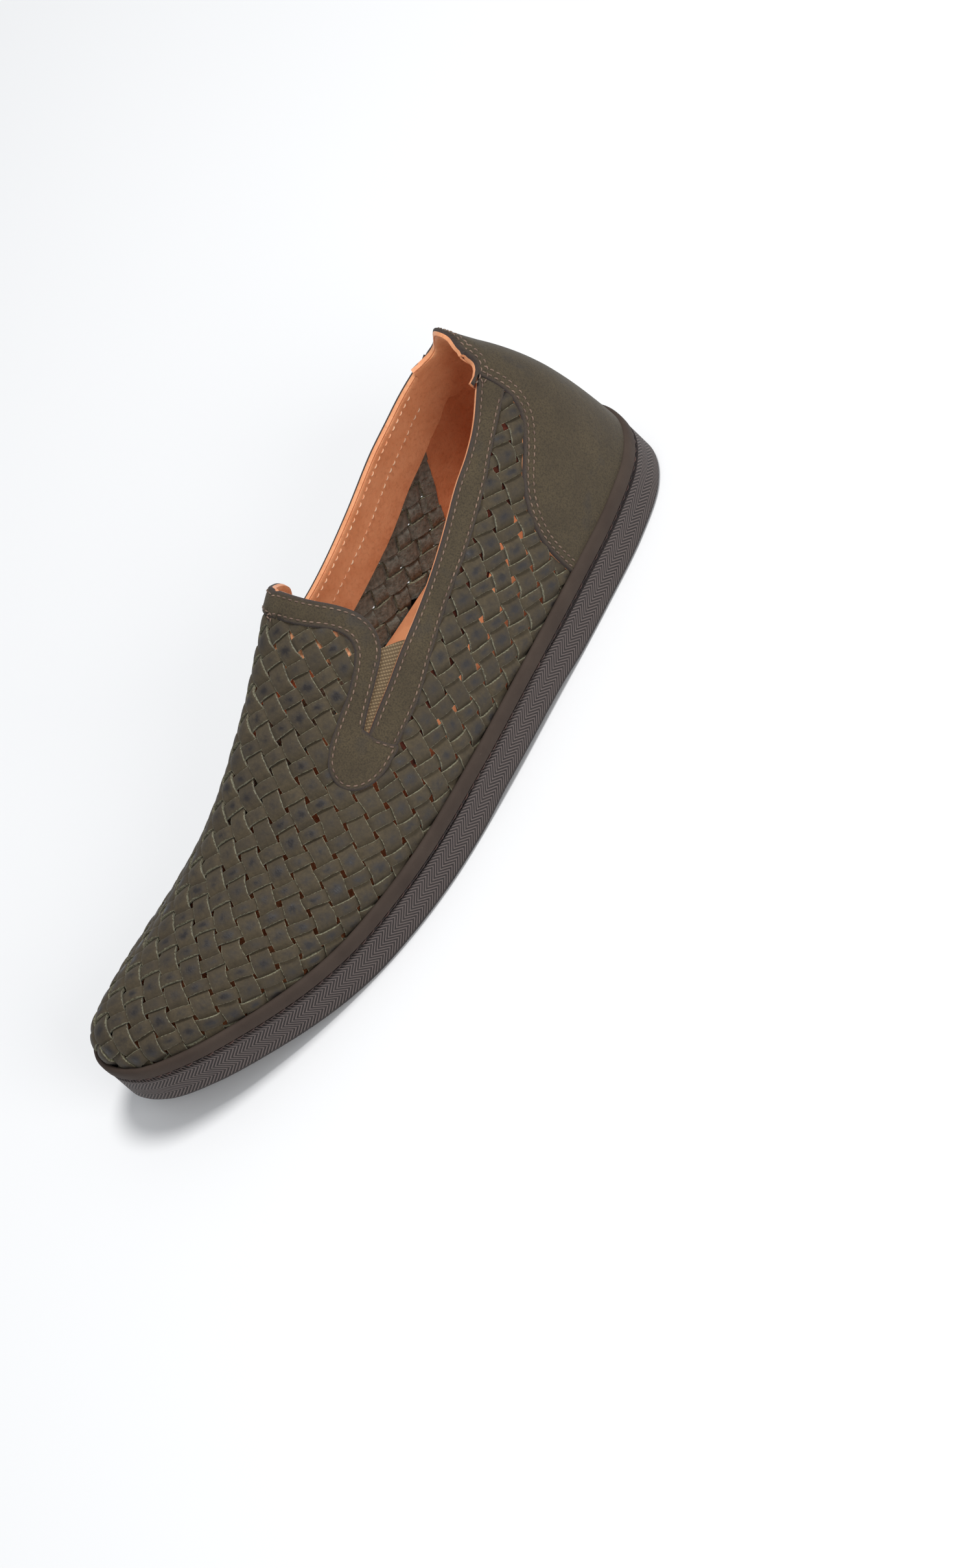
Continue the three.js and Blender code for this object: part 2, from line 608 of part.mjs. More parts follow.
// Cross grooves in the tread, each a share from the heel, that stop short of the sole's edge.
const treadAt = [0.08, 0.14, 0.2, 0.58, 0.64, 0.7, 0.76, 0.82];
const treadWidth = 3;
const treadDeep = 1.2;
const treadInset = 9;
const grooves = treadAt.map((t) => {
  const y = (0.5 - t) * length;
  const [from, to] = [-1, 1].map((side) => {
    const { points } = halves.get(side);
    return points.find((p) => p.y < y).x - side * treadInset;
  });
  const z = Math.min(soleBottom(t - 0.005), soleBottom(t + 0.005)) + treadDeep;
  return bar([[y - treadWidth / 2, -1], [y + treadWidth / 2, -1], [y + treadWidth / 2, z],
    [y - treadWidth / 2, z]], from, to);
});
const outsoleSolid = ringSolid(soleSteps, soleRows, false).subtract(Manifold.union(grooves));
const randSolid = ringSolid(soleSteps, randProfile, true);
const insoleSolid = ringSolid(20, insoleRows, false);

function flareTab(p) {
  const w = (p.z - topCorner[1]) / (height - topCorner[1]);
  if (w <= 0) return;
  p.y += w * (tabLean + tabFlat * p.x * p.x);
  p.x *= 1 + tabFlare * w;
}

const pieces = [
  ['outsole', outsoleSolid, 0x3f3634, 0.8],
  ['rand', randSolid, 0x574c4a, 0.7],
  ['insole', insoleSolid, 0xa8663a, 0.8],
  ['upper', upperSolid, 0x4b4735, 0.85],
  ['heel_counter', counterSolid, 0x4b4636, 0.9],
  ['collar_strap_outer', strapSolid(1), 0x4b4636, 0.9],
  ['collar_strap_inner', strapSolid(-1), 0x4b4636, 0.9],
  ['throat_band', bandSolid, 0x4b4636, 0.9],
  ['gore_outer', goreSolid(1), 0x83704f, 0.95],
  ['gore_inner', goreSolid(-1), 0x83704f, 0.95],
];
const group = new THREE.Group();
group.name = 'woven_slip_on_shoe';
for (const [name, solid, color, roughness] of pieces) {
  const material = new THREE.MeshStandardMaterial({ color, roughness, metalness: 0 });
  material.name = `${name}_material`;
  const mesh = new THREE.Mesh(toGeometry(solid, name === 'heel_counter' ? flareTab : undefined),
    material);
  mesh.name = name;
  group.add(mesh);
}
const box = new THREE.Box3().setFromObject(group);
const middle = box.getCenter(new THREE.Vector3());
for (const mesh of group.children) mesh.geometry.translate(-middle.x, -middle.y, -box.min.z);
export default group;
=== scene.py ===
"""Woven leather slip-on shoe for the left foot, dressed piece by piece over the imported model."""
import math

import bpy
import numpy as np
from bpy.props import FloatProperty, FloatVectorProperty, PointerProperty
from mathutils import Matrix, Vector
from mathutils.geometry import delaunay_2d_cdt


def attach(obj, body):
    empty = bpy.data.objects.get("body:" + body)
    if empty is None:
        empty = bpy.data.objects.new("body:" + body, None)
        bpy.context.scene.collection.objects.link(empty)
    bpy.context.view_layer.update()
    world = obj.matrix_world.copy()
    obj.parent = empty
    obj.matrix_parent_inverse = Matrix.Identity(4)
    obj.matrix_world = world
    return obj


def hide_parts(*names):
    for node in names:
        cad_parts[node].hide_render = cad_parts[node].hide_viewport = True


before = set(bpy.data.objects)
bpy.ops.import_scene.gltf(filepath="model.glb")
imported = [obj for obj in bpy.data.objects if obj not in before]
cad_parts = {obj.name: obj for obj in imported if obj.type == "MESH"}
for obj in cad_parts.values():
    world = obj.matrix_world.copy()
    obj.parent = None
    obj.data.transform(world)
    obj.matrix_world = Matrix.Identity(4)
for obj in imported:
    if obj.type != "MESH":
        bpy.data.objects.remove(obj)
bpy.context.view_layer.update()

bl_info = {
    "name": "Woven slip-on shoe",
    "version": (1, 0, 0),
    "blender": (4, 5, 0),
    "location": "3D View > Sidebar > Shoe",
    "description": "Makes a woven leather slip-on shoe over its packed model",
    "category": "Object",
}

# Main sizes in millimetres, the same as the solids'. The frame here has the heel at +Y.
LENGTH = 302.0
WIDTH = 95.0
HEIGHT = 102.0
SOLE_THICK = 22.5
TOE_SPRING = 13.5
ARCH_RISE = 1.2
RAND_DEPTH = 6.1
FEATHER_INSET = 3.4
TUCK = 20.0
SEAM_GAP = 0.3
INSOLE_THICK = 3.5
WEAVE_PITCH = 7.6
WEAVE_START = 26.0
PLANE_TILT = math.radians(25)

# Outline from above: share of the length from the heel, x as a share of the width.
OUTLINE = np.array([
    (0, 0), (0.012, 0.1758), (0.05, 0.2979), (0.12, 0.3789), (0.22, 0.4347), (0.35, 0.4895),
    (0.48, 0.5389), (0.6, 0.56), (0.7, 0.5263), (0.79, 0.4474), (0.87, 0.34), (0.94, 0.2105),
    (0.985, 0.0674), (1, -0.0947), (0.985, -0.2253), (0.93, -0.3179), (0.85, -0.3916),
    (0.75, -0.4368), (0.65, -0.4295), (0.54, -0.3737), (0.42, -0.3316), (0.3, -0.3263),
    (0.18, -0.3474), (0.08, -0.3263), (0.02, -0.2)])
TOE_ROW = 13
RAND_TOP = np.array([(0, 1), (0.3, 1), (0.6, 0.9778), (1, 0.9333)])

# The last, a row per rib: share of the way round, the ridge (x, y, z), then for the outer and
# the inner side how far out the middle and the shoulder stand and their heights.
LAST = np.array([
    (0, -0.0105, 0.3907, 1.0588, 0.82, 0.588, 0.42, 0.882, 0.82, 0.588, 0.42, 0.882),
    (0.05, -0.0105, 0.3874, 1.0588, 0.82, 0.588, 0.43, 0.882, 0.84, 0.588, 0.46, 0.882),
    (0.1, -0.0158, 0.3775, 1.0637, 0.83, 0.569, 0.44, 0.863, 0.87, 0.578, 0.55, 0.863),
    (0.15, -0.0211, 0.3576, 1.0686, 0.85, 0.549, 0.48, 0.824, 0.93, 0.559, 0.7, 0.824),
    (0.2, -0.0263, 0.3278, 1.0588, 0.87, 0.51, 0.57, 0.775, 0.98, 0.529, 0.82, 0.784),
    (0.3, -0.0316, 0.2219, 1.0294, 0.91, 0.461, 0.66, 0.716, 1, 0.471, 0.85, 0.725),
    (0.4, -0.0316, 0.1159, 0.9804, 0.93, 0.441, 0.68, 0.686, 1, 0.451, 0.74, 0.716),
    (0.45, -0.0316, 0.0596, 0.9314, 0.92, 0.441, 0.54, 0.775, 0.98, 0.451, 0.58, 0.784),
    (0.5, -0.0316, -0.0066, 0.8284, 0.91, 0.412, 0.51, 0.706, 0.96, 0.422, 0.53, 0.696),
    (0.55, -0.0368, -0.0662, 0.7304, 0.9, 0.387, 0.5, 0.627, 0.95, 0.373, 0.51, 0.603),
    (0.6, -0.0421, -0.1291, 0.6373, 0.9, 0.363, 0.5, 0.559, 0.94, 0.333, 0.5, 0.525),
    (0.65, -0.0474, -0.1887, 0.5637, 0.91, 0.348, 0.5, 0.505, 0.93, 0.304, 0.5, 0.461),
    (0.7, -0.0526, -0.245, 0.5098, 0.92, 0.338, 0.5, 0.471, 0.93, 0.284, 0.5, 0.422),
    (0.75, -0.0632, -0.298, 0.4804, 0.93, 0.338, 0.52, 0.451, 0.93, 0.284, 0.5, 0.402),
    (0.8, -0.0737, -0.3444, 0.4637, 0.93, 0.341, 0.55, 0.441, 0.93, 0.304, 0.5, 0.397),
    (0.85, -0.0842, -0.3841, 0.4559, 0.94, 0.353, 0.6, 0.431, 0.93, 0.324, 0.53, 0.402),
    (0.9, -0.0916, -0.4106, 0.451, 0.94, 0.363, 0.65, 0.425, 0.93, 0.343, 0.58, 0.41),
    (0.95, -0.0947, -0.4272, 0.449, 0.94, 0.37, 0.69, 0.422, 0.94, 0.363, 0.66, 0.416),
    (1, -0.0947, -0.4338, 0.448, 0.94, 0.375, 0.72, 0.42, 0.94, 0.375, 0.72, 0.42)])

# Edges of the pieces in the side view, (y, z) as shares of the length and the height.
TOPLINE = [
    (0.4007, 0.848), (0.3599, 0.798), (0.3156, 0.7618), (0.2758, 0.7412), (0.2119, 0.6951),
    (0.1613, 0.6637), (0.1149, 0.6422), (0.0675, 0.6255), (0.0215, 0.5902), (-0.0265, 0.5471)]
STRAP_FOOT = [
    (0.4089, 0.751), (0.3334, 0.6961), (0.3013, 0.6647), (0.2596, 0.6353), (0.2209, 0.6108),
    (0.1563, 0.5804), (0.0987, 0.5431), (0.0427, 0.4971), (-0.0265, 0.4569)]
COUNTER_EDGE = [
    (0.4007, 0.848), (0.405, 0.7745), (0.4033, 0.7157), (0.3914, 0.6627), (0.3699, 0.6216),
    (0.3318, 0.5608), (0.3119, 0.5118), (0.2987, 0.4588), (0.2881, 0.3873), (0.2841, 0.3137),
    (0.2834, 0.2157), (0.2834, 0.16)]
HEEL_TAB = [
    (0.16, 0.848), (0.128, 0.853), (0.103, 0.877), (0.085, 0.912), (0.067, 0.945), (0.042, 0.973),
    (0, 0.988), (-0.045, 0.975), (-0.084, 0.945), (-0.117, 0.908), (-0.147, 0.872),
    (-0.178, 0.853), (-0.22, 0.848)]
THROAT_EDGE = [
    (0.0596, 0.9412), (0.0669, 0.8971), (0.0781, 0.8412), (0.0841, 0.7902), (0.0838, 0.7578),
    (0.0795, 0.7255), (0.0659, 0.6853), (0.0321, 0.6392), (-0.0063, 0.5892), (-0.0219, 0.5676)]
BAND_EDGE = [
    (-0.0219, 0.5294), (-0.0175, 0.4902), (-0.0139, 0.4598), (-0.0311, 0.449), (-0.0517, 0.4441),
    (-0.0712, 0.4529), (-0.0848, 0.4725), (-0.0914, 0.5), (-0.0884, 0.5333), (-0.0795, 0.5627),
    (-0.0642, 0.5902), (-0.0427, 0.6186), (-0.0209, 0.6441), (0.0017, 0.6686),
    (0.0185, 0.6922), (0.0381, 0.7245), (0.0483, 0.7471), (0.0533, 0.7745), (0.0526, 0.8),
    (0.0483, 0.8265), (0.0387, 0.8598), (0.0311, 0.8922), (0.0281, 0.905)]
GORE_SHEET = [
    (0.056, 0.702), (0.094, 0.618), (0.04, 0.583), (-0.03, 0.515), (-0.04, 0.544), (0.012, 0.637)]
TAB_FLARE = 0.28
TAB_LEAN = 1.5
TAB_FLAT = 0.035


def linear(code):
    """sRGB hex colour to the linear colour that the shaders take."""
    parts = [int(code[k:k + 2], 16) / 255 for k in (1, 3, 5)]
    return [c / 12.92 if c <= 0.04045 else ((c + 0.055) / 1.055) ** 2.4 for c in parts]


# the last

def along(rows, column, x):
    """A value that runs smoothly through the rows of a table, flat at both ends."""
    xs, ys = rows[:, 0], rows[:, column]
    x = np.clip(np.asarray(x, float), xs[0], xs[-1])
    slope = np.zeros(len(xs))
    slope[1:-1] = (ys[2:] - ys[:-2]) / (xs[2:] - xs[:-2])
    i = np.clip(np.searchsorted(xs, x, side="right") - 1, 0, len(xs) - 2)
    h = xs[i + 1] - xs[i]
    w = (x - xs[i]) / h
    return ((1 + 2 * w) * (1 - w) ** 2 * ys[i] + w * (1 - w) ** 2 * h * slope[i]
            + w * w * (3 - 2 * w) * ys[i + 1] + w * w * (w - 1) * h * slope[i + 1])


def fade(w):
    """A soft step from 0 to 1."""
    w = np.clip(w, 0, 1)
    return w * w * (3 - 2 * w)


def walk(points):
    """How far along a row each of its points lies."""
    return np.r_[0, np.cumsum(np.linalg.norm(np.diff(points, axis=0), axis=1))]


def spline(p0, p1, p2, p3, w):
    """Centripetal Catmull-Rom from p1 to p2."""
    def gap(a, b):
        return np.maximum(np.sum((a - b) ** 2, -1, keepdims=True) ** 0.25, 1e-6)
    d0, d1, d2 = gap(p0, p1), gap(p1, p2), gap(p2, p3)
    m1 = ((p1 - p0) / d0 - (p2 - p0) / (d0 + d1) + (p2 - p1) / d1) * d1
    m2 = ((p2 - p1) / d1 - (p3 - p1) / (d1 + d2) + (p3 - p2) / d2) * d1
    return (p1 + m1 * w + (-3 * p1 + 3 * p2 - 2 * m1 - m2) * w ** 2
            + (2 * p1 - 2 * p2 + m1 + m2) * w ** 3)


def smooth_row(rows, step=1.0):
    """An open row of points, drawn as a curve and cut into even steps."""
    p = np.asarray(rows, float)
    q = np.vstack([2 * p[0] - p[1], p, 2 * p[-1] - p[-2]])
    w = np.linspace(0, 1, 12, endpoint=False)[:, None]
    parts = [spline(q[k], q[k + 1], q[k + 2], q[k + 3], w) for k in range(len(p) - 1)]
    line = np.vstack(parts + [p[-1:]])
    walked = walk(line)
    count = max(2, int(round(walked[-1] / step)) + 1)
    at_run = np.linspace(0, walked[-1], count)
    return np.column_stack([np.interp(at_run, walked, line[:, k]) for k in range(line.shape[1])])


def share(y):
    """Share of the way from the heel to the toe."""
    return 0.5 - y / LENGTH


def spring(t):
    return TOE_SPRING * fade((t - 0.72) / 0.33)


def sole_bottom(t):
    return spring(t) + ARCH_RISE * fade((t - 0.27) / 0.07) * fade((0.53 - t) / 0.07)


def rand_top(t):
    return spring(t) + SOLE_THICK * along(RAND_TOP, 1, t)


CORNERS = np.column_stack([OUTLINE[:, 1] * WIDTH, (0.5 - OUTLINE[:, 0]) * LENGTH])


def half_outline(side, count=1200):
    rows = len(CORNERS)
    toe = TOE_ROW / rows
    w = np.linspace(0, 1, count + 1)
    t = (toe * w if side > 0 else 1 - (1 - toe) * w) % 1.0 * rows
    i = np.floor(t).astype(int)
    p = spline(CORNERS[(i - 1) % rows], CORNERS[i % rows], CORNERS[(i + 1) % rows],
               CORNERS[(i + 2) % rows], (t - i)[:, None])
    walked = walk(p)
    return p, walked


HALVES = {side: half_outline(side) for side in (1, -1)}
MIDDLE_X = (HALVES[1][0][:, 0].max() + HALVES[-1][0][:, 0].min()) / 2


def outline_at(side, a, inset=0.0):
    """Points of the sole's outline at shares of the way from heel to toe, moved inwards."""
    points, walked = HALVES[side]

    def at_share(s):
        want = np.clip(s, 0, 1) * walked[-1]
        return np.column_stack([np.interp(want, walked, points[:, k]) for k in (0, 1)])
    step = 0.004
    run = at_share(a + step) - at_share(a - step)
    run[a < step / 2] = (side, 0)
    run[a > 1 - step / 2] = (-side, 0)
    run /= np.linalg.norm(run, axis=1)[:, None]
    return at_share(a) - np.column_stack([-run[:, 1], run[:, 0]]) * side * inset


RIBS, LEVELS = 384, 128


def last_grid(side):
    """One side of the last as a grid of points, rib by rib from under the rand to the ridge."""
    a = np.linspace(0, 1, RIBS + 1)
    foot = outline_at(side, a, FEATHER_INSET)
    foot = np.column_stack([foot, rand_top(share(foot[:, 1]))])
    ridge = np.column_stack([along(LAST, 1, a) * WIDTH, along(LAST, 2, a) * LENGTH,
                             along(LAST, 3, a) * HEIGHT])
    first = 4 if side > 0 else 8
    mid, mid_z, top, top_z = (along(LAST, first + k, a) for k in range(4))

    def place(w, z):
        flat = ridge[:, :2] + w[:, None] * (foot - ridge)[:, :2]
        return np.column_stack([flat, z * HEIGHT])
    posts = [foot - (0, 0, 2 * TUCK), foot - (0, 0, TUCK), foot, place(mid, mid_z),
             place(top, top_z), ridge, place(-top, top_z)]
    grid = np.empty((RIBS + 1, LEVELS + 1, 3))
    for j in range(LEVELS + 1):
        t = 1 + 4 * j / LEVELS
        i = min(int(t), 4)
        grid[:, j] = spline(posts[i - 1], posts[i], posts[i + 1], posts[i + 2], t - i)
    return grid


POINTS = np.stack([last_grid(1), last_grid(-1)])


def grid_normals():
    run = np.gradient(POINTS, axis=1)
    rise = np.gradient(POINTS, axis=2)
    normals = np.cross(run, rise)
    normals[0] *= -1
    normals /= np.maximum(np.linalg.norm(normals, axis=-1, keepdims=True), 1e-9)
    for row in (0, RIBS):
        mean = normals[0, row] + normals[1, row]
        normals[:, row] = mean / np.linalg.norm(mean, axis=-1, keepdims=True)
    mean = normals[0, :, LEVELS] + normals[1, :, LEVELS]
    normals[:, :, LEVELS] = mean / np.linalg.norm(mean, axis=-1, keepdims=True)
    return normals


NORMALS = grid_normals()


def on_last(around, up, off=0.0):
    """Points on the last and the way out of it. around runs from -1, the toe by the inner side,
    through 0, the heel, to 1; up is 0 under the rand, 1 on the ridge and 2 across it."""
    around, up, off = np.broadcast_arrays(np.asarray(around, float), np.asarray(up, float),
                                          np.asarray(off, float))
    over = up > 1
    side = (np.where(around < 0, -1, 1) * np.where(over, -1, 1) < 0).astype(int)
    i = np.clip(np.abs(around), 0, 1) * RIBS
    j = np.clip(np.where(over, 2 - up, up), 0, 1) * LEVELS
    i0 = np.minimum(i.astype(int), RIBS - 1)
    j0 = np.minimum(j.astype(int), LEVELS - 1)
    u, v = (i - i0)[..., None], (j - j0)[..., None]

    def mix(table):
        return ((table[side, i0, j0] * (1 - u) + table[side, i0 + 1, j0] * u) * (1 - v)
                + (table[side, i0, j0 + 1] * (1 - u) + table[side, i0 + 1, j0 + 1] * u) * v)
    normal = mix(NORMALS)
    normal /= np.linalg.norm(normal, axis=-1, keepdims=True)
    return flare(mix(POINTS) + normal * off[..., None]), normal


def flare(p):
    """The tab over the heel leans back and spreads, as on the solid."""
    top = TOPLINE[0][1] * HEIGHT
    w = np.where((p[..., 1] > 110), np.clip((p[..., 2] - top) / (HEIGHT - top), 0, 1.4), 0)
    out = p.copy()
    out[..., 1] += w * (TAB_LEAN + TAB_FLAT * p[..., 0] ** 2)
    out[..., 0] *= 1 + TAB_FLARE * w
    return out


def pin(side, rows, axes=(1, 2), reach=1.0):
    """Places on the last, (around, up), whose view along the other axis is each row."""
    axes = list(axes)
    limit = int(RIBS * reach)
    table = POINTS[0 if side > 0 else 1, :limit + 1][..., axes]
    found = []
    for row in np.asarray(rows, float):
        i, j = np.unravel_index(np.argmin(((table - row) ** 2).sum(-1)), table.shape[:2])
        i0, j0 = min(max(i, 1), limit - 1), min(max(j, 1), LEVELS - 1)
        slope = np.column_stack([(table[i0 + 1, j0] - table[i0 - 1, j0]) / 2,
                                 (table[i0, j0 + 1] - table[i0, j0 - 1]) / 2])
        move = np.linalg.lstsq(slope.T @ slope + 1e-4 * np.eye(2),
                               slope.T @ (row - table[i, j]), rcond=None)[0]
        move = np.clip(move, -1, 1)
        found.append((side * np.clip(i + move[0], 0, RIBS) / RIBS,
                      np.clip(j + move[1], 0, LEVELS) / LEVELS))
    return np.array(found)


def mirrored(rows):
    """Places on the inner side, named from the outer one across the ridge."""
    rows = rows.copy()
    rows[:, 0] *= -1
    rows[:, 1] = 2 - rows[:, 1]
    return rows


def side_view(rows, step=1.0):
    return smooth_row(np.array(rows) * (LENGTH, HEIGHT), step)


TOPLINE_ROW = side_view(TOPLINE)
STRAP_ROW = side_view(STRAP_FOOT)
COUNTER_ROW = side_view(COUNTER_EDGE)
THROAT_ROW = side_view(THROAT_EDGE)
BAND_ROW = side_view(BAND_EDGE)
TAB_ROW = smooth_row(np.array(HEEL_TAB) * (WIDTH, HEIGHT), 1.0)


def tab_places():
    """The top edge of the heel panel and tab, from the outer corner to the inner one."""
    centre = -0.7
    outer = TAB_ROW[TAB_ROW[:, 0] > centre]
    inner = TAB_ROW[TAB_ROW[:, 0] <= centre]
    return np.vstack([pin(1, outer, (0, 2), 0.13), pin(-1, inner, (0, 2), 0.15)])


def merged_rows(*rows):
    """Rows of places joined end to end, evened out so that no two points crowd."""
    line = np.vstack(rows)
    place, _ = on_last(line[:, 0], line[:, 1])
    kept = [0]
    for k in range(1, len(line)):
        if np.linalg.norm(place[k] - place[kept[-1]]) > 0.55:
            kept.append(k)
    return line[kept]


TAB_PLACES = tab_places()


# meshes

def place_mm(points):
    """Millimetres of the shoe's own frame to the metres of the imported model."""
    return (np.asarray(points, float) - (MIDDLE_X, 0, 0)) * 0.001


def build(name, points, faces, materials, face_slots=None, uv=None, values=None, sharp=None):
    """A mesh object from points in millimetres, shaded smooth, with its materials and maps."""
    mesh = bpy.data.meshes.new(name)
    mesh.from_pydata(place_mm(points).tolist(), [], [list(map(int, f)) for f in faces])
    mesh.polygons.foreach_set("use_smooth", [True] * len(mesh.polygons))
    for material in materials:
        mesh.materials.append(material)
    if face_slots is not None:
        mesh.polygons.foreach_set("material_index", np.asarray(face_slots, np.int32))
    if uv is not None:
        layer = mesh.uv_layers.new(name="millimetres")
        corners = np.empty(len(mesh.loops), np.int32)
        mesh.loops.foreach_get("vertex_index", corners)
        layer.data.foreach_set("uv", np.asarray(uv, np.float32)[corners].ravel())
    for key, table in (values or {}).items():
        layer = mesh.attributes.new(key, "FLOAT", "POINT")
        layer.data.foreach_set("value", np.asarray(table, np.float32))
    if sharp is not None:
        mesh.set_sharp_from_angle(angle=math.radians(sharp))
    mesh.validate()
    mesh.update()
    piece = bpy.data.objects.new(name, mesh)
    bpy.context.scene.collection.objects.link(piece)
    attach(piece, "root")
    return piece


def strip_faces(rows, columns, closed=False, turn=False):
    """Quads of a grid of rows by columns; closed joins the last column to the first."""
    faces = []
    for r in range(rows - 1):
        for c in range(columns if closed else columns - 1):
            d = (c + 1) % columns
            ring = (r * columns + c, r * columns + d, (r + 1) * columns + d, (r + 1) * columns + c)
            faces.append(ring[::-1] if turn else ring)
    return faces


def grid_sheet(over, under, turn=False):
    """A thin closed sheet between two grids of points."""
    rows, columns = over.shape[:2]
    count = rows * columns
    points = np.vstack([over.reshape(-1, 3), under.reshape(-1, 3)])
    faces = strip_faces(rows, columns, turn=turn)
    faces += [tuple(count + v for v in f[::-1]) for f in strip_faces(rows, columns, turn=turn)]
    rim = ([r * columns for r in range(rows)]
           + [(rows - 1) * columns + c for c in range(1, columns)]
           + [r * columns + columns - 1 for r in range(rows - 2, -1, -1)]
           + [c for c in range(columns - 2, 0, -1)])
    for k, v in enumerate(rim):
        w = rim[(k + 1) % len(rim)]
        ring = (v, w, count + w, count + v)
        faces.append(ring if turn else ring[::-1])
    return points, faces


def inside(polygon, points):
    """True for each point inside a closed row of points."""
    x, y = points[:, 0][:, None], points[:, 1][:, None]
    x1, y1 = polygon[:, 0], polygon[:, 1]
    x2, y2 = np.roll(x1, -1), np.roll(y1, -1)
    spans = (y1 > y) != (y2 > y)
    rise = np.where(y2 == y1, 1e-12, y2 - y1)
    return (np.sum(spans & (x < (x2 - x1) * (y - y1) / rise + x1), axis=1) % 2) == 1


def edge_distance(polygon, points):
    """Distance from each point to a closed row of points, negative outside."""
    a = polygon
    b = np.roll(polygon, -1, axis=0)
    best = np.full(len(points), 1e9)
    for k in range(len(a)):
        run = b[k] - a[k]
        w = np.clip(((points - a[k]) @ run) / max(run @ run, 1e-12), 0, 1)
        best = np.minimum(best, np.linalg.norm(points - a[k] - w[:, None] * run, axis=1))
    return np.where(inside(polygon, points), best, -best)


def jacobian(line):
    """How far a place on the last moves, in millimetres, for a step around and a step up."""
    step = 0.002
    across = (on_last(line[:, 0] + step, line[:, 1])[0]
              - on_last(line[:, 0] - step, line[:, 1])[0]) / (2 * step)
    rise = (on_last(line[:, 0], line[:, 1] + step)[0]
            - on_last(line[:, 0], line[:, 1] - step)[0]) / (2 * step)
    return across, rise


def moved_row(line, by, closed=True):
    """A row of places on the last moved sideways along its surface, to the left of its run."""
    place, normal = on_last(line[:, 0], line[:, 1])
    if closed:
        run = np.roll(place, -1, 0) - np.roll(place, 1, 0)
    else:
        run = np.gradient(place, axis=0)
    run /= np.maximum(np.linalg.norm(run, axis=1, keepdims=True), 1e-9)
    way = np.cross(normal, run)
    across, rise = jacobian(line)
    out = line.copy()
    for k in range(len(line)):
        slope = np.column_stack([across[k], rise[k]])
        lean = slope.T @ slope + np.eye(2) * 1.0
        out[k] += np.linalg.solve(lean, slope.T @ (way[k] * by))
    return out


def nearest(points, targets):
    """Distance from each point to the closest of the targets."""
    best = np.empty(len(points))
    for k in range(0, len(points), 4000):
        part = points[k:k + 4000]
        best[k:k + 4000] = np.sqrt(((part[:, None] - targets[None]) ** 2).sum(-1)).min(1)
    return best


def overlay(name, edge, profile, under, materials, rings, spacing=2.2):
    """A piece of leather cut to a closed row of places and laid on the last: profile gives the
    height of its face from the distance to its edge, under the depth of its back."""
    place, _ = on_last(edge[:, 0], edge[:, 1])
    loops = [edge]
    turn = 1.0 if inside(edge, moved_row(edge, 1.0)).mean() >= 0.5 else -1.0
    for by in rings[1:]:
        row = moved_row(edge, by * turn)
        spot, _ = on_last(row[:, 0], row[:, 1])
        keep = (nearest(spot, place) > 0.86 * by) & inside(edge, row)
        loops.append(row[keep])
    across, rise = jacobian(edge)
    scale = np.array([np.median(np.linalg.norm(across, axis=1)),
                      np.median(np.linalg.norm(rise, axis=1))])
    low, high = edge.min(0), edge.max(0)
    grid = np.stack(np.meshgrid(np.arange(low[0], high[0], spacing / scale[0]),
                                np.arange(low[1], high[1], spacing / scale[1]),
                                indexing="ij"), -1).reshape(-1, 2)
    grid = grid[inside(edge, grid)]
    spot, _ = on_last(grid[:, 0], grid[:, 1])
    grid = grid[nearest(spot, place) > rings[-1] + 0.6 * spacing]
    flat = np.vstack(loops + [grid])
    count = len(edge)
    loop = [(k, (k + 1) % count) for k in range(count)]
    verts, _, faces, origin, _, _ = delaunay_2d_cdt(
        [Vector(p * scale) for p in flat], loop, [], 0, 1e-5)
    verts = np.array([v[:] for v in verts]) / scale
    middle = np.array([verts[list(f)].mean(0) for f in faces])
    held = inside(edge, middle)
    faces = [tuple(f) for f, ok in zip(faces, held) if ok]
    spot, _ = on_last(verts[:, 0], verts[:, 1])
    depth = nearest(spot, place)
    depth[[k for k, o in enumerate(origin) if any(v < count for v in o)]] = 0
    face, normal = on_last(verts[:, 0], verts[:, 1], profile(depth))
    back, _ = on_last(verts[:, 0], verts[:, 1], np.full(len(verts), under))
    a, b, c = (face[[f[k] for f in faces]] for k in range(3))
    out = np.einsum("ij,ij->i", np.cross(b - a, c - a), normal[[f[0] for f in faces]])
    faces = [f if ok > 0 else f[::-1] for f, ok in zip(faces, out)]
    total = len(verts)
    uses = {}
    for f in faces:
        for k in range(3):
            uses[(f[k], f[(k + 1) % 3])] = True
    rim = [(v, w) for v, w in uses if (w, v) not in uses]
    sheet = (faces + [tuple(total + v for v in f[::-1]) for f in faces]
             + [(w, v, total + v, total + w) for v, w in rim])
    slots = [0] * len(faces) + [len(materials) - 1] * (len(faces) + len(rim))
    values = {"depth": np.r_[depth, depth]}
    return build(name, np.vstack([face, back]), sheet, materials, slots, values=values, sharp=60)


# Distances from the edge, in millimetres, where a piece's mesh has its rows of points and its
# stitches.
EDGE_ROWS = (0, 0.3, 0.65, 1.1, 1.6, 2.1, 2.7)
SEAM_IN = 1.7
SECOND_SEAM_IN = 3.9
BAND_SEAM_IN = 1.8
LOBE_SEAM_IN = 1.3


def folded_edge(top, base=0.45, turn=1.1, channels=(), sunk=0.24):
    """Height of a leather piece: its rounded edge and the troughs its stitch rows lie in."""
    def height(depth):
        w = np.clip(depth / turn, 0, 1)
        out = base + (top - base) * np.sqrt(np.clip(1 - (1 - w) ** 2, 0, 1))
        for at in channels:
            out = out - sunk * np.exp(-((depth - at) / 0.5) ** 2)
        return out
    return height


STITCHES = []
SOLE_STITCHES = []
LINING_STITCHES = []


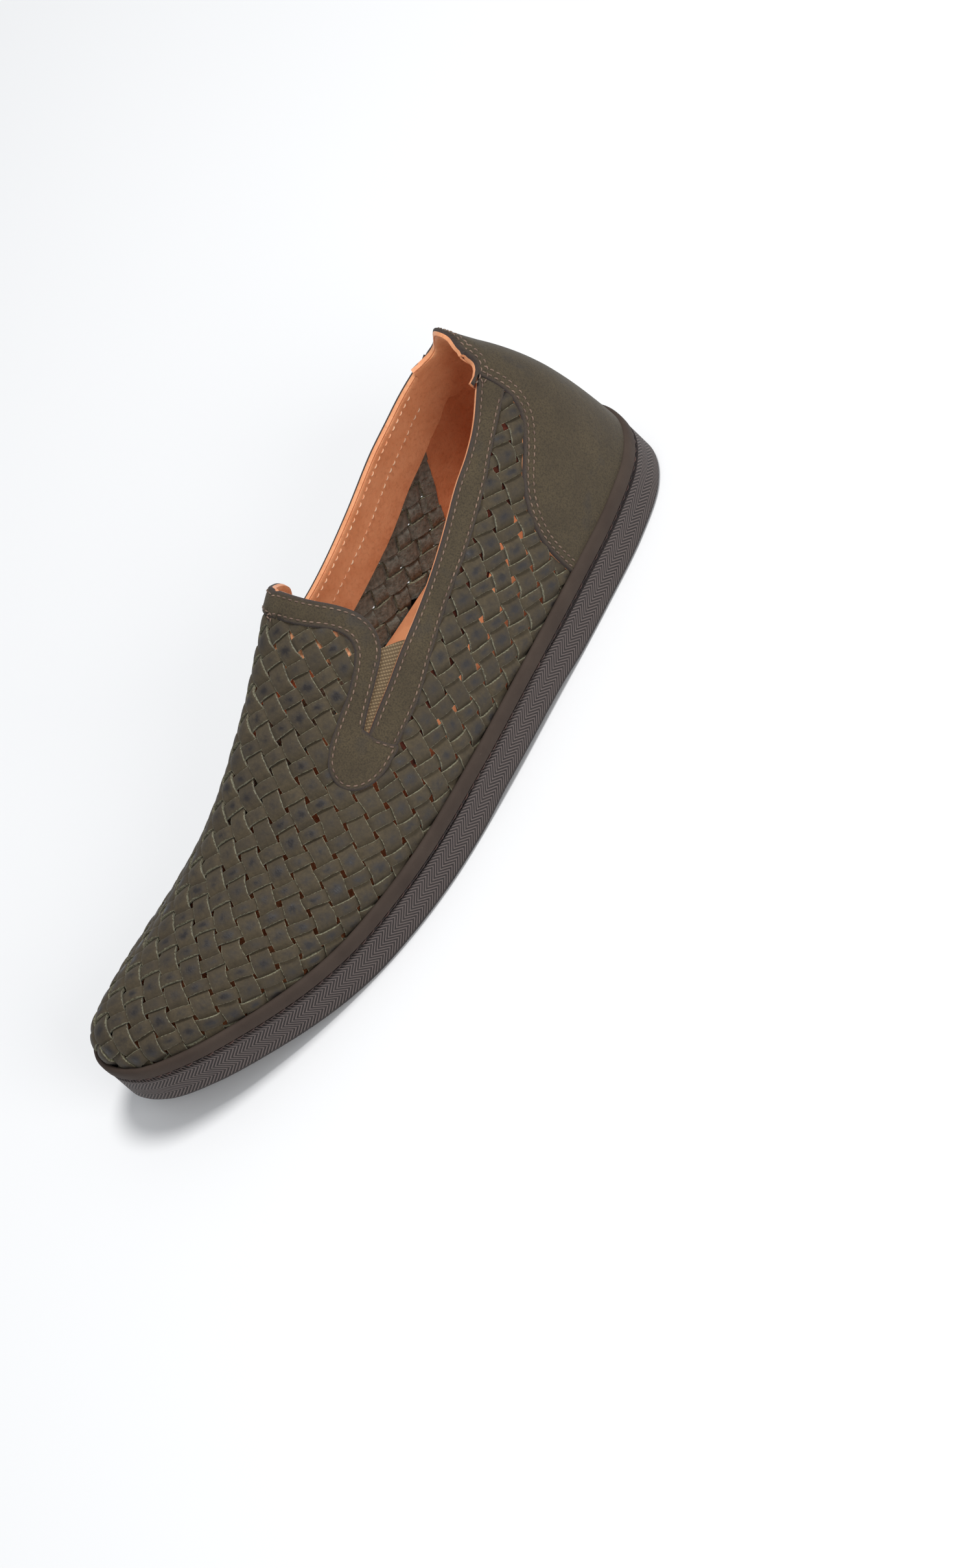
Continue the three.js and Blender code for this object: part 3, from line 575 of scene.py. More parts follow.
def inner_row(line, edge, by):
    """A row of places moved towards the inside of the piece that its edge closes."""
    row = moved_row(line, by, closed=False)
    if inside(edge, row).mean() < 0.5:
        row = moved_row(line, -by, closed=False)
    return row


def sew(line, off):
    """Keeps a row of stitches along places on the last: each a short arch of thread."""
    place, normal = on_last(line[:, 0], line[:, 1], off)
    sew_points(place, normal)


def sew_points(place, normal, pitch=2.6, run=1.9, thick=0.29, lean=0.12, kept=None):
    walked = walk(place)
    starts = np.arange(0.4, walked[-1] - run, pitch)
    if len(starts) == 0:
        return
    w = np.linspace(0, 1, 5)
    s = starts[:, None] + run * w[None]
    centre = np.stack([np.interp(s, walked, place[:, k]) for k in range(3)], -1)
    out = np.stack([np.interp(s, walked, normal[:, k]) for k in range(3)], -1)
    out /= np.linalg.norm(out, axis=-1, keepdims=True)
    tangent = np.gradient(centre, axis=1)
    tangent /= np.linalg.norm(tangent, axis=-1, keepdims=True)
    side = np.cross(out, tangent)
    arch = np.array([-0.32, 0.12, 0.2, 0.12, -0.32])
    centre = centre + out * arch[None, :, None] + side * (lean * (w - 0.5))[None, :, None]
    radius = thick * np.array([0.55, 1, 1.05, 1, 0.55])
    turn = np.arange(6) * math.pi / 3
    ring = (centre[:, :, None] + side[:, :, None] * (np.cos(turn)[None, None, :, None]
            * radius[None, :, None, None]) + out[:, :, None] * (np.sin(turn)[None, None, :, None]
            * 0.8 * radius[None, :, None, None]))
    (STITCHES if kept is None else kept).append(ring)


# the weave's own chart

def weave_chart():
    """Where each step along the shoe and round its girth lies on the last."""
    tilt = (math.cos(PLANE_TILT), math.sin(PLANE_TILT))
    lean = -POINTS[..., 1] * tilt[0] - POINTS[..., 2] * tilt[1]
    first = RIBS * 8 // 96
    spine = ([(i, LEVELS) for i in range(first, RIBS + 1)]
             + [(RIBS, j) for j in range(LEVELS - 1, -1, -1)])
    si = np.array([s[0] for s in spine])
    sj = np.array([s[1] for s in spine])
    place = POINTS[0, si, sj]
    walked = walk(place)
    runs = np.arange(0, walked[-1], 1.0)
    girths = np.arange(0, 150.0, 1.0)
    at_lean = np.interp(runs, walked, lean[0, si, sj])
    at_i, at_j = np.interp(runs, walked, si), np.interp(runs, walked, sj)
    chart = np.full((2, len(runs), len(girths), 2), np.nan)
    for s in (0, 1):
        rows = np.maximum.accumulate(lean[s], axis=0)
        cross = np.stack([np.interp(at_lean, rows[:, j], np.arange(RIBS + 1), left=np.nan,
                                    right=np.nan) for j in range(LEVELS + 1)], 1)
        for r in range(len(runs)):
            j = np.arange(int(math.ceil(at_j[r])) - 1, -1, -1)
            j = j[~np.isnan(cross[r, j])]
            ii, jj = np.r_[at_i[r], cross[r, j]], np.r_[at_j[r], j]
            p, _ = on_last((1 - 2 * s) * ii / RIBS, jj / LEVELS)
            g = walk(p)
            keep = girths <= g[-1]
            chart[s, r, keep, 0] = np.interp(girths[keep], g, ii / RIBS)
            chart[s, r, keep, 1] = np.interp(girths[keep], g, jj / LEVELS)
    return chart


def on_chart(chart, run, girth):
    """Places (around, up) for steps along the shoe and round its girth; NaN off the last."""
    s = (girth < 0).astype(int)
    r = np.clip(run, 0, chart.shape[1] - 1.001)
    g = np.clip(np.abs(girth), 0, chart.shape[2] - 1.001)
    r0, g0 = r.astype(int), g.astype(int)
    u, v = (r - r0)[..., None], (g - g0)[..., None]
    got = ((chart[s, r0, g0] * (1 - u) + chart[s, r0 + 1, g0] * u) * (1 - v)
           + (chart[s, r0, g0 + 1] * (1 - u) + chart[s, r0 + 1, g0 + 1] * u) * v)
    got[(run < 0) | (run > chart.shape[1] - 1)] = np.nan
    return np.where(s == 1, -got[..., 0], got[..., 0]), got[..., 1]


def scatter(*keys):
    """A steady number from 0 to 1 for whole-number keys."""
    total = np.zeros(np.broadcast(*keys).shape)
    for k, key in enumerate(keys):
        total = total + np.asarray(key, float) * (12.9898 + 65.233 * k)
    return np.abs(np.sin(total * 1.37 + 0.5) * 43758.5453) % 1.0


LOBE_START = int(np.argmax(BAND_ROW[:, 1] < BAND_EDGE[2][1] * HEIGHT))
TRIM_COVER = np.vstack([BAND_ROW[LOBE_START:], [(BAND_ROW[-1, 0], 1.4 * HEIGHT)],
                        [(0.45 * LENGTH, 1.4 * HEIGHT)], [(0.45 * LENGTH, STRAP_ROW[0, 1])],
                        STRAP_ROW[STRAP_ROW[:, 0] > BAND_ROW[LOBE_START, 0]]])
COUNTER_SHAPE = np.vstack([COUNTER_ROW, [(0.6 * LENGTH, COUNTER_ROW[-1, 1])],
                           [(0.6 * LENGTH, 1.4 * HEIGHT)], [(COUNTER_ROW[0, 0], 1.4 * HEIGHT)]])


# A strip's section from edge to edge, as shares of its half width, and how far each place drops.
STRIP_ACROSS = np.array([-1, -0.93, -0.5, 0, 0.5, 0.93, 1])
STRIP_DROP = np.array([0.22, 0.09, 0.02, 0, 0.02, 0.09, 0.22])
STEPS_PER_CROSSING = 8
LANES_EACH_WAY = 60
UNDER_TRIM = 3.2
UNDER_RAND = 4.2


def weave_upper(sizes, colours):
    """Two sets of strips that cross over and under each other on the last. A strip runs on a
    little under the trim and the rand, pressed flat, and ends there."""
    chart = weave_chart()
    half = WEAVE_PITCH / math.sqrt(2)
    thick = sizes.strip_thick
    swing = sizes.weave_swing
    steps, across, drop = STEPS_PER_CROSSING, STRIP_ACROSS, STRIP_DROP
    lanes = np.arange(-LANES_EACH_WAY, LANES_EACH_WAY)
    t = np.arange(-LANES_EACH_WAY * steps, LANES_EACH_WAY * steps + 1) / steps
    tops = [leather_strip(colours), raw_edge(colours), suede_back(colours)]
    for name, lengthwise in (("weave_strips_long", True), ("weave_strips_cross", False)):
        wide = sizes.long_strip if lengthwise else sizes.cross_strip
        points, faces, slots, burn, tint, rim = [], [], [], [], [], []
        base = 0
        for lane in lanes:
            wobble = 0.025 * np.sin(t * 1.7 + lane * 2.3) + 0.018 * np.sin(t * 4.1 + lane)
            inner = fade(((1 if lengthwise else -1) * (lane - t) * half) / 40 + 0.2)
            spread = (wide + sizes.inner_wider * inner) / WEAVE_PITCH / 2 * (
                1 + 0.05 * np.sin(t * 2.9 + lane * 1.3) + 0.04 * (scatter(lane, 7) - 0.5))
            middle = lane + 0.5 + wobble + 0.05 * (scatter(lane, 3) - 0.5)
            edge_noise = 0.016 * (scatter(np.round(t * steps), lane, 1) - 0.5)
            other = middle[:, None] + across[None] * (spread + edge_noise)[:, None]
            mine = np.broadcast_to(t[:, None], other.shape)
            u, v = (mine, other) if lengthwise else (other, mine)
            around, up = on_chart(chart, WEAVE_START + (u + v) * half, (u - v) * half)
            sign = 1 if (lane % 2 == 0) == lengthwise else -1
            wave = np.cos(math.pi * (t - 0.5)) * sign
            level = swing * np.tanh(1.4 * wave) / math.tanh(1.4)
            tile = np.floor(t)
            lift = 0.22 * (scatter(tile, lane, 5) - 0.35) * np.clip(wave, 0, 1)
            off = (level + lift)[:, None] + thick / 2 - drop[None] * (0.6 + 0.8 * np.clip(
                wave, 0, 1))[:, None]
            ok = ~np.isnan(around[:, 3]) & ~np.isnan(around[:, 0]) & ~np.isnan(around[:, -1])
            if ok.sum() < 3:
                continue
            around, up = np.nan_to_num(around), np.nan_to_num(up)
            flat, _ = on_last(around[:, 3], up[:, 3])
            view = flat[:, 1:]
            rise = flat[:, 2] - rand_top(share(flat[:, 1]))
            cover = np.maximum(edge_distance(TRIM_COVER, view),
                               edge_distance(COUNTER_SHAPE, view))
            ok &= (cover < UNDER_TRIM) & (rise > -UNDER_RAND)
            pressed = fade((cover + 1.0) / 2.4)
            dip = (0.55 + 0.85 * level) * pressed + 0.5 * fade((1.6 - rise) / 1.6)
            over = on_last(around, up, off - dip[:, None])[0]
            low = np.array([1, 3, 5])
            under = on_last(around[:, low], up[:, low], (off - thick)[:, [0, 3, 6]]
                            - dip[:, None] + 0.06)[0][:, ::-1]
            ring = np.concatenate([over, under], 1)
            count = ring.shape[1]
            glow = np.exp(-(((t - tile - 0.5) / 0.27) ** 2)) * (wave > 0)
            glow = glow * (0.25 + 0.75 * scatter(tile, lane, 9))
            glow = glow[:, None] * np.exp(-(np.r_[across, 2, 2, 2] / 0.62) ** 2)[None]
            rows = np.flatnonzero(ok)
            groups = np.split(rows, np.flatnonzero(np.diff(rows) > 1) + 1)
            for group in groups:
                if len(group) < 3:
                    continue
                points.append(ring[group].reshape(-1, 3))
                burn.append(glow[group].ravel())
                tint.append(np.repeat(scatter(tile[group], lane, 2), count))
                edge = np.r_[1, 0.35, 0, 0, 0, 0.35, 1, 1, 1, 1]
                rim.append(np.tile(edge, len(group)))
                grid = strip_faces(len(group), count, closed=True, turn=not lengthwise)
                faces += [tuple(base + k for k in f) for f in grid]
                slots += [0, 0, 0, 0, 0, 0, 1, 2, 2, 1] * (len(group) - 1)
                base += len(group) * count
        piece = build(name, np.vstack(points), faces, tops, slots,
                      values={"burnish": np.concatenate(burn), "tint": np.concatenate(tint),
                              "rim": np.concatenate(rim)}, sharp=55)
        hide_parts("upper")


# smooth leather pieces

def counter_line(side):
    """The heel panel's front edge on one side, from the top corner down under the rand."""
    return pin(side, COUNTER_ROW[COUNTER_ROW[:, 1] > 0.165 * HEIGHT])


def heel_panel(sizes, colours):
    outer, inner = counter_line(1), counter_line(-1)
    bottom_up = outer[-1, 1]
    bottom = np.column_stack([np.linspace(outer[-1, 0], inner[-1, 0], 150),
                              np.linspace(bottom_up, inner[-1, 1], 150)])
    edge = merged_rows(outer, bottom[1:-1], inner[::-1], TAB_PLACES[::-1])
    seams = (SEAM_IN, SECOND_SEAM_IN)
    piece = overlay("heel_panel", edge, folded_edge(sizes.overlay_top, channels=seams), -0.9,
                    [nubuck(colours), tan_lining(colours)], EDGE_ROWS + (3.4, 4.1, 4.8))
    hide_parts("heel_counter")
    off = sizes.overlay_top - 0.12
    for by in seams:
        for line in (outer, inner, TAB_PLACES[2:-2]):
            sew(inner_row(line, edge, by), off)


def strap_line(side):
    return pin(side, TOPLINE_ROW), pin(side, STRAP_ROW)


def collar_straps(sizes, colours):
    for side, name, node in ((1, "collar_strap_outside", "collar_strap_outer"),
                             (-1, "collar_strap_inside", "collar_strap_inner")):
        top, foot = strap_line(side)
        edge = merged_rows(top, foot[::-1])
        shape = folded_edge(sizes.overlay_top - 0.25, channels=(SEAM_IN,))
        piece = overlay(name, edge, shape, -1.0, [nubuck(colours), tan_lining(colours)],
                        EDGE_ROWS)
        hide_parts(node)
        off = sizes.overlay_top - 0.37
        sew(inner_row(top, edge, SEAM_IN)[2:-3], off)
        sew(inner_row(foot, edge, SEAM_IN)[4:-3], off)


def throat_band(sizes, colours):
    outer_throat, outer_band = pin(1, THROAT_ROW), pin(1, BAND_ROW)
    inner_throat, inner_band = mirrored(pin(-1, THROAT_ROW)), mirrored(pin(-1, BAND_ROW))
    edge = merged_rows(outer_throat[::-1], inner_throat, inner_band, outer_band[::-1])
    shape = folded_edge(sizes.overlay_top + 0.1, channels=(BAND_SEAM_IN,))
    piece = overlay("throat_trim", edge, shape, -1.0, [nubuck(colours), tan_lining(colours)],
                    EDGE_ROWS, spacing=1.8)
    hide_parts("throat_band")
    off = sizes.overlay_top - 0.02
    throat = np.vstack([outer_throat[::-1], inner_throat[1:]])
    band = np.vstack([outer_band, inner_band[::-1][1:]])
    sew(inner_row(throat, edge, BAND_SEAM_IN)[1:-1], off)
    first = LOBE_START + 1
    sew(inner_row(band, edge, BAND_SEAM_IN)[first:-first], off)
    for rows in (outer_band, inner_band):
        sew(inner_row(rows[:first + 1], edge, LOBE_SEAM_IN), off)


def gores(sizes, colours):
    elastic = elastic_knit(colours)
    shape = smooth_row(np.array(GORE_SHEET + GORE_SHEET[:1]) * (LENGTH, HEIGHT), 1.0)[:-1]
    for side, name, node in ((1, "gore_outside", "gore_outer"), (-1, "gore_inside", "gore_inner")):
        edge = merged_rows(pin(side, shape))
        piece = overlay(name, edge, lambda depth: np.full(len(depth), 0.1), -1.1,
                        [elastic, elastic], (0, 0.8), spacing=1.6)
        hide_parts(node)


# lining and insole

LINING_THICK = 0.75
LINING_SEAMS = (2.8, 12.5)
LINING_SEAM_END = 0.385 * LENGTH
THROAT_LINING_THICK = 0.7
THROAT_LINING_WIDE = 24.0


def lining(sizes, colours):
    """A tan leather band inside the opening: along both sides, round the heel and up the tab."""
    outer, inner = pin(1, TOPLINE_ROW), pin(-1, TOPLINE_ROW)
    rim = merged_rows(inner[::-1], TAB_PLACES[::-1], outer)
    place, _ = on_last(rim[:, 0], rim[:, 1])
    walked = walk(place)
    even = np.linspace(0, walked[-1], 220)
    rim = np.column_stack([np.interp(even, walked, rim[:, k]) for k in (0, 1)])
    place, _ = on_last(rim[:, 0], rim[:, 1])
    _, rise = jacobian(rim)
    fall = place[:, 2] - (along_top(place[:, 1]) - sizes.lining_wide)
    fall = np.clip(fall, sizes.lining_wide, None) + 0.8 * np.sin(even * 0.09)
    w = np.r_[0, 0.02, 0.05, np.linspace(0.1, 0.97, 13), 1]
    up = rim[:, 1][:, None] - (fall / np.linalg.norm(rise, axis=1))[:, None] * (w[None] + 0.025)
    around = np.broadcast_to(rim[:, 0][:, None], up.shape)
    crease = (0.16 * np.sin(even[:, None] * 0.61 + 3.1 * w[None])
              + 0.12 * np.sin(even[:, None] * 0.23 + 1.3))
    loose = 1.0 * w[None] ** 3 * (0.6 + 0.4 * np.sin(even[:, None] * 0.05))
    face = -1.75 - loose + crease * w[None] * (1 - w[None]) * 2 + 0.5 * np.exp(-w[None] / 0.03)
    over = on_last(around, up, face)[0]
    under = on_last(around, up, face + LINING_THICK)[0]
    points, faces = grid_sheet(over, under, turn=True)
    cells = (len(rim) - 1) * (len(w) - 1)
    # the band's back, seen through the weave's gaps, takes the lining back with its painted shade
    slots = [0] * cells + [1] * cells + [0] * (len(faces) - 2 * cells)
    piece = build("lining_band", points, faces, [tan_lining(colours), lining_back_painted_shade(colours)],
                  slots, sharp=60)
    for share_down in np.interp(LINING_SEAMS, [0, sizes.lining_wide], [0, 1]):
        row = np.column_stack([rim[:, 0], rim[:, 1] - fall / np.linalg.norm(rise, axis=1)
                               * share_down])
        column = np.interp(share_down, w, np.arange(len(w)))
        level = np.array([np.interp(column, np.arange(len(w)), face[k]) for k in range(len(row))])
        spot, normal = on_last(row[:, 0], row[:, 1], level - 0.12)
        along_side = np.flatnonzero(spot[:, 1] < LINING_SEAM_END)
        for run in np.split(along_side, np.flatnonzero(np.diff(along_side) > 1) + 1):
            if len(run) > 20:
                sew_points(spot[run[4:-4]], -normal[run[4:-4]], 3.0, 2.2, 0.32,
                           kept=LINING_STITCHES)
    throat = np.vstack([pin(1, THROAT_ROW)[::-1], mirrored(pin(-1, THROAT_ROW))])
    throat = merged_rows(throat)
    across, _ = jacobian(throat)
    w = np.r_[0, 0.03, 0.08, np.linspace(0.2, 1, 8)]
    reach = THROAT_LINING_WIDE / np.linalg.norm(across, axis=1)
    around = throat[:, 0][:, None] + reach[:, None] * w[None]
    up = np.broadcast_to(throat[:, 1][:, None], around.shape)
    face = -1.7 - 0.5 * w[None] ** 2 + 0.7 * np.exp(-w[None] / 0.04) + 0 * around
    over = on_last(around, up, face)[0]
    under = on_last(around, up, face + THROAT_LINING_THICK)[0]
    points, faces = grid_sheet(over, under, turn=False)
    piece = build("throat_lining", points, faces, [tan_lining(colours)], sharp=60)


def along_top(y):
    order = np.argsort(TOPLINE_ROW[:, 0])
    return np.interp(y, TOPLINE_ROW[order, 0], TOPLINE_ROW[order, 1])


def insole(sizes, colours):
    """A tan leather sock, slightly dished, that lies on the sole inside the wall."""
    stations = np.linspace(0, 1, 120)
    inset = FEATHER_INSET + 2.4
    outer, inner = outline_at(1, stations, inset), outline_at(-1, stations, inset)
    w = np.linspace(0, 1, 25)
    flat = outer[:, None] * (1 - w)[None, :, None] + inner[:, None] * w[None, :, None]
    y = flat[..., 1]
    dish = 0.9 * (np.abs(2 * w - 1) ** 4)[None] * np.sin(math.pi * stations)[:, None] ** 0.5
    top = rand_top(share(y)) - RAND_DEPTH + INSOLE_THICK + dish - 0.2
    over = np.dstack([flat, top])
    under = np.dstack([flat, top - 2.5])
    points, faces = grid_sheet(over, under, turn=False)
    piece = build("sock_insole", points, faces, [sock_leather(colours)], sharp=50)
    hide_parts("insole")


# sole

def swept(name, rows, stations, materials, closed, node, sharp=40, cap=False):
    """A ring that follows the outline: rows are insets and heights over a share of the length."""
    a = np.linspace(0, 1, stations + 1)
    sides = []
    for side, share_row in ((1, a), (-1, a[::-1][1:-1])):
        columns = []
        for inset, height in rows:
            p = outline_at(side, share_row, inset)
            columns.append(np.column_stack([p, height(share(p[:, 1]))]))
        sides.append(np.stack(columns, 1))
    ring = np.vstack(sides)
    count, width = ring.shape[:2]
    ring = np.vstack([ring, ring[:1]])
    middle = ring[:, width // 2]
    walked = walk(middle)
    climb = np.concatenate([np.zeros((len(ring), 1)), np.cumsum(np.linalg.norm(
        np.diff(ring, axis=1), axis=2), axis=1)], 1)
    if closed:
        ring = np.concatenate([ring, ring[:, :1]], 1)
        climb = np.concatenate([climb, climb[:, -1:] + 1], 1)
        width += 1
    faces = strip_faces(count + 1, width, turn=False)
    uv = np.stack([np.broadcast_to(walked[:, None], climb.shape), climb], -1).reshape(-1, 2)
    points = ring.reshape(-1, 3)
    if cap:
        for level in (0, width - 1):
            half = count // 2
            for k in range(half):
                p, q = k, k + 1
                r, s = (count - k - 1), (count - k) % count
                ids = [p * width + level, q * width + level, r * width + level, s * width + level]
                ids = [v for n, v in enumerate(ids) if v not in ids[:n]]
                if len(ids) > 2:
                    faces.append(tuple(ids if level else ids[::-1]))
    piece = build(name, points, faces, materials, uv=uv, sharp=sharp)
    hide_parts(node)
    return piece


def ground(h):
    return lambda t: sole_bottom(t) + h


def rand_level(h):
    return lambda t: rand_top(t) + h


def outsole(sizes, colours):
    seat = -RAND_DEPTH - SEAM_GAP

    def wall_height(w):
        return lambda t: (sole_bottom(t) + 1.6) * (1 - w) + (rand_top(t) + seat - 1.3) * w
    rows = [(1.9, ground(0)), (1.2, ground(0.12)), (0.6, ground(0.45)), (0.25, ground(1.0))]
    rows += [(0.05 + 0.35 * w, wall_height(w)) for w in np.linspace(0, 1, 9)]
    rows += [(0.75, rand_level(seat - 0.95)), (1.25, rand_level(seat - 0.7)),
             (1.3, rand_level(seat - 0.3)), (1.9, rand_level(seat))]
    swept("cup_sole", rows, 260, [chevron_rubber(colours)], False, "outsole",
          cap=True)


def rand(sizes, colours):
    d = RAND_DEPTH
    rows = [(1.9, rand_level(-d)), (0.75, rand_level(-d + 0.25)), (0.3, rand_level(-d + 0.7)),
            (0.12, rand_level(-0.78 * d)), (0.1, rand_level(-0.45 * d)),
            (0.22, rand_level(-0.2 * d)), (0.62, rand_level(-0.06 * d)), (1.1, rand_level(-0.01 * d)),
            (1.6, rand_level(0.1)), (2.15, rand_level(-0.1)), (2.5, rand_level(-0.5)),
            (2.5, rand_level(-d))]
    swept("rand_strip", rows, 260, [rand_rubber(colours)], True, "rand", sharp=50)
    a = np.linspace(0, 1, 400)
    for side in (1, -1):
        p = outline_at(side, a, 1.0)
        level = rand_top(share(p[:, 1])) - d - 0.35
        out = p - outline_at(side, a, 3.0)
        out = np.column_stack([out / np.linalg.norm(out, axis=1)[:, None], np.zeros(len(a))])
        sew_points(np.column_stack([p, level]), out, 4.2, 3.0, 0.3, 0.3, SOLE_STITCHES)


def stitching(sizes, colours):
    """All the rows of thread that the pieces asked for."""
    for name, kept, slot, codes in (
            ("stitching", STITCHES, "smooth_leather", (colours.thread, colours.thread_dark)),
            ("lining_stitching", LINING_STITCHES, "insole_leather",
             (colours.lining_thread, colours.lining)),
            ("sole_stitching", SOLE_STITCHES, "rand_rubber", (colours.sole_thread, colours.sole))):
        rings = np.concatenate(kept)
        count, rows, around = rings.shape[:3]
        one = strip_faces(rows, around, closed=True)
        one += [tuple(range(around))[::-1], tuple((rows - 1) * around + k for k in range(around))]
        faces = [tuple(s * rows * around + v for v in f) for s in range(count) for f in one]
        piece = build(name, rings.reshape(-1, 3), faces, [waxed_thread(name + "_thread", *codes)])


# finishes

def add(tree, kind, sockets=None, **settings):
    """A node with its settings, its socket values and its links. A node given as a value stands
    for its first output, and a colour gets its alpha here."""
    node = tree.nodes.new(kind)
    for key, value in settings.items():
        setattr(node, key, value)
    for key, value in (sockets or {}).items():
        socket = node.inputs[key]
        if isinstance(value, bpy.types.Node):
            value = value.outputs[0]
        if isinstance(value, bpy.types.NodeSocket):
            tree.links.new(value, socket)
        else:
            socket.default_value = (*value, 1) if socket.type == "RGBA" else value
    return node


def finish_of(name, **sockets):
    """A new material with a Principled shader whose plain values are given."""
    material = bpy.data.materials.new(name)
    material.use_nodes = True
    tree = material.node_tree
    tree.nodes.clear()
    shader = add(tree, "ShaderNodeBsdfPrincipled",
                 {key.replace("_", " "): value for key, value in sockets.items()})
    add(tree, "ShaderNodeOutputMaterial", {"Surface": shader.outputs[0]})
    return material, tree, shader


def millimetres(tree):
    """Object coordinates in millimetres."""
    spot = add(tree, "ShaderNodeTexCoord")
    return add(tree, "ShaderNodeVectorMath", {0: spot.outputs["Object"], "Scale": 1000},
               operation="SCALE").outputs[0]


def speckle(tree, spot, size, detail, spread=(0, 1), reach=(0, 1), rough=0.55):
    """Noise whose grains are about this many millimetres across, its spread drawn out to reach."""
    grain = add(tree, "ShaderNodeTexNoise", {"Vector": spot, "Scale": 1 / size, "Detail": detail,
                                             "Roughness": rough})
    return add(tree, "ShaderNodeMapRange", {0: grain, 1: spread[0], 2: spread[1],
                                            3: reach[0], 4: reach[1]}).outputs[0]


def emboss(tree, shader, spot, *layers):
    """Reliefs laid over each other: each a height, or the size and detail of its grains, and its
    depth, in millimetres."""
    below = {}
    for height, depth in layers:
        if isinstance(height, tuple):
            height = speckle(tree, spot, *height)
        below = {"Normal": add(tree, "ShaderNodeBump", {
            "Height": height, "Distance": depth * 0.001, "Strength": 1.0, **below})}
    tree.links.new(below["Normal"].outputs[0], shader.inputs["Normal"])


def stained(tree, under, *stains):
    """A colour with others laid over it in turn, each by its own share."""
    for share_over, over in stains:
        under = add(tree, "ShaderNodeMix", {0: share_over, 6: under, 7: over},
                    data_type="RGBA").outputs[2]
    return under


def clouded(name, low, high, grain, spread, relief, **sockets):
    """A material of two colours that run into each other, with one fine relief. grain is the
    size and detail of the patches, and relief those of the nap, with its depth."""
    material, tree, shader = finish_of(name, **sockets)
    spot = millimetres(tree)
    colour = stained(tree, low, (speckle(tree, spot, *grain, spread), high))
    tree.links.new(colour, shader.inputs["Base Color"])
    emboss(tree, shader, spot, (relief[:2], relief[2]))
    return material


def nubuck(colours):
    """Nubuck: cow leather buffed on the grain side, so it is matt, with faint dark rubbed
    clouds and fine pores."""
    done = bpy.data.materials.get("buffed_nubuck")
    if done:
        return done
    material, tree, shader = finish_of("buffed_nubuck", Roughness=0.86, Sheen_Weight=0.06,
                                       Sheen_Roughness=0.5, Specular_IOR_Level=0.35)
    spot = millimetres(tree)
    cloud = speckle(tree, spot, 13.0, 2, (0.58, 0.76), (0, 0.6))
    depth = add(tree, "ShaderNodeAttribute", attribute_name="depth").outputs["Fac"]
    folded = add(tree, "ShaderNodeMapRange", {0: depth, 1: 0.2, 2: 1.7, 3: 0.85, 4: 0})
    gloss = add(tree, "ShaderNodeMapRange", {0: cloud, 1: 0, 2: 0.75, 3: 0.88, 4: 0.55})
    colour = stained(
        tree, colours.nubuck,
        (speckle(tree, spot, 14.0, 3, (0.35, 0.7)), colours.nubuck_light),
        (speckle(tree, spot, 0.6, 3, (0.42, 0.68), (0, 0.75)), colours.nubuck_dark),
        (cloud, colours.burnish),
        (folded, colours.folded_edge))
    tree.links.new(colour, shader.inputs["Base Color"])
    tree.links.new(gloss.outputs[0], shader.inputs["Roughness"])
    emboss(tree, shader, spot, ((0.55, 2), 0.10), ((3.5, 2), 0.16))
    return material


def leather_strip(colours):
    """Nubuck cut into strips and woven: the high middle of each crossing is rubbed dark and
    smooth, and the strip is lighter towards its cut edges."""
    material, tree, shader = finish_of("woven_nubuck_strip", Roughness=0.84, Sheen_Weight=0.06,
                                       Sheen_Roughness=0.5, Specular_IOR_Level=0.4)
    spot = millimetres(tree)
    tint, burnish, rim = (add(tree, "ShaderNodeAttribute", attribute_name=key).outputs["Fac"]
                          for key in ("tint", "burnish", "rim"))
    cloud = add(tree, "ShaderNodeMath", {
        0: burnish, 1: speckle(tree, spot, 2.6, 3, (0.28, 0.58), (0.4, 1.4))},
        operation="MULTIPLY")
    fray = add(tree, "ShaderNodeMath", {
        0: rim, 1: speckle(tree, spot, 0.8, 2, (0.35, 0.6), (0.2, 1.0))},
        operation="MULTIPLY")
    rubbed = add(tree, "ShaderNodeMapRange", {0: cloud, 1: 0, 2: 0.8})
    frayed = add(tree, "ShaderNodeMapRange", {0: fray, 1: 0.25, 2: 1.0, 3: 0, 4: 0.8})
    gloss = add(tree, "ShaderNodeMapRange", {0: cloud, 1: 0.05, 2: 0.9, 3: 0.84, 4: 0.42})
    colour = stained(
        tree, colours.nubuck,
        (tint, colours.nubuck_light),
        (speckle(tree, spot, 1.3, 3, (0.3, 0.75), (0, 0.55)), colours.nubuck_dark),
        (rubbed, colours.burnish), (frayed, colours.cut_edge))
    tree.links.new(colour, shader.inputs["Base Color"])
    tree.links.new(gloss.outputs[0], shader.inputs["Roughness"])
    emboss(tree, shader, spot, ((0.6, 2), 0.10), ((4.0, 2), 0.22))
    return material


def raw_edge(colours):
    """Raw leather where the strips were cut: pale, fuzzy fibres with no finish."""
    return clouded("raw_cut_leather", colours.cut_edge, colours.nubuck_light, (0.7, 3),
                   (0.3, 0.7), (0.45, 3, 0.25), Roughness=1.0, Sheen_Weight=0.15,
                   Specular_IOR_Level=0.2)


def suede_back(colours):
    """The flesh side of the strips: grey-green suede with a coarse nap."""
    return clouded("suede_flesh_side", colours.suede, colours.suede_light, (1.6, 4),
                   (0.3, 0.72), (0.8, 4, 0.3), Roughness=0.97, Sheen_Weight=0.15,
                   Specular_IOR_Level=0.2)


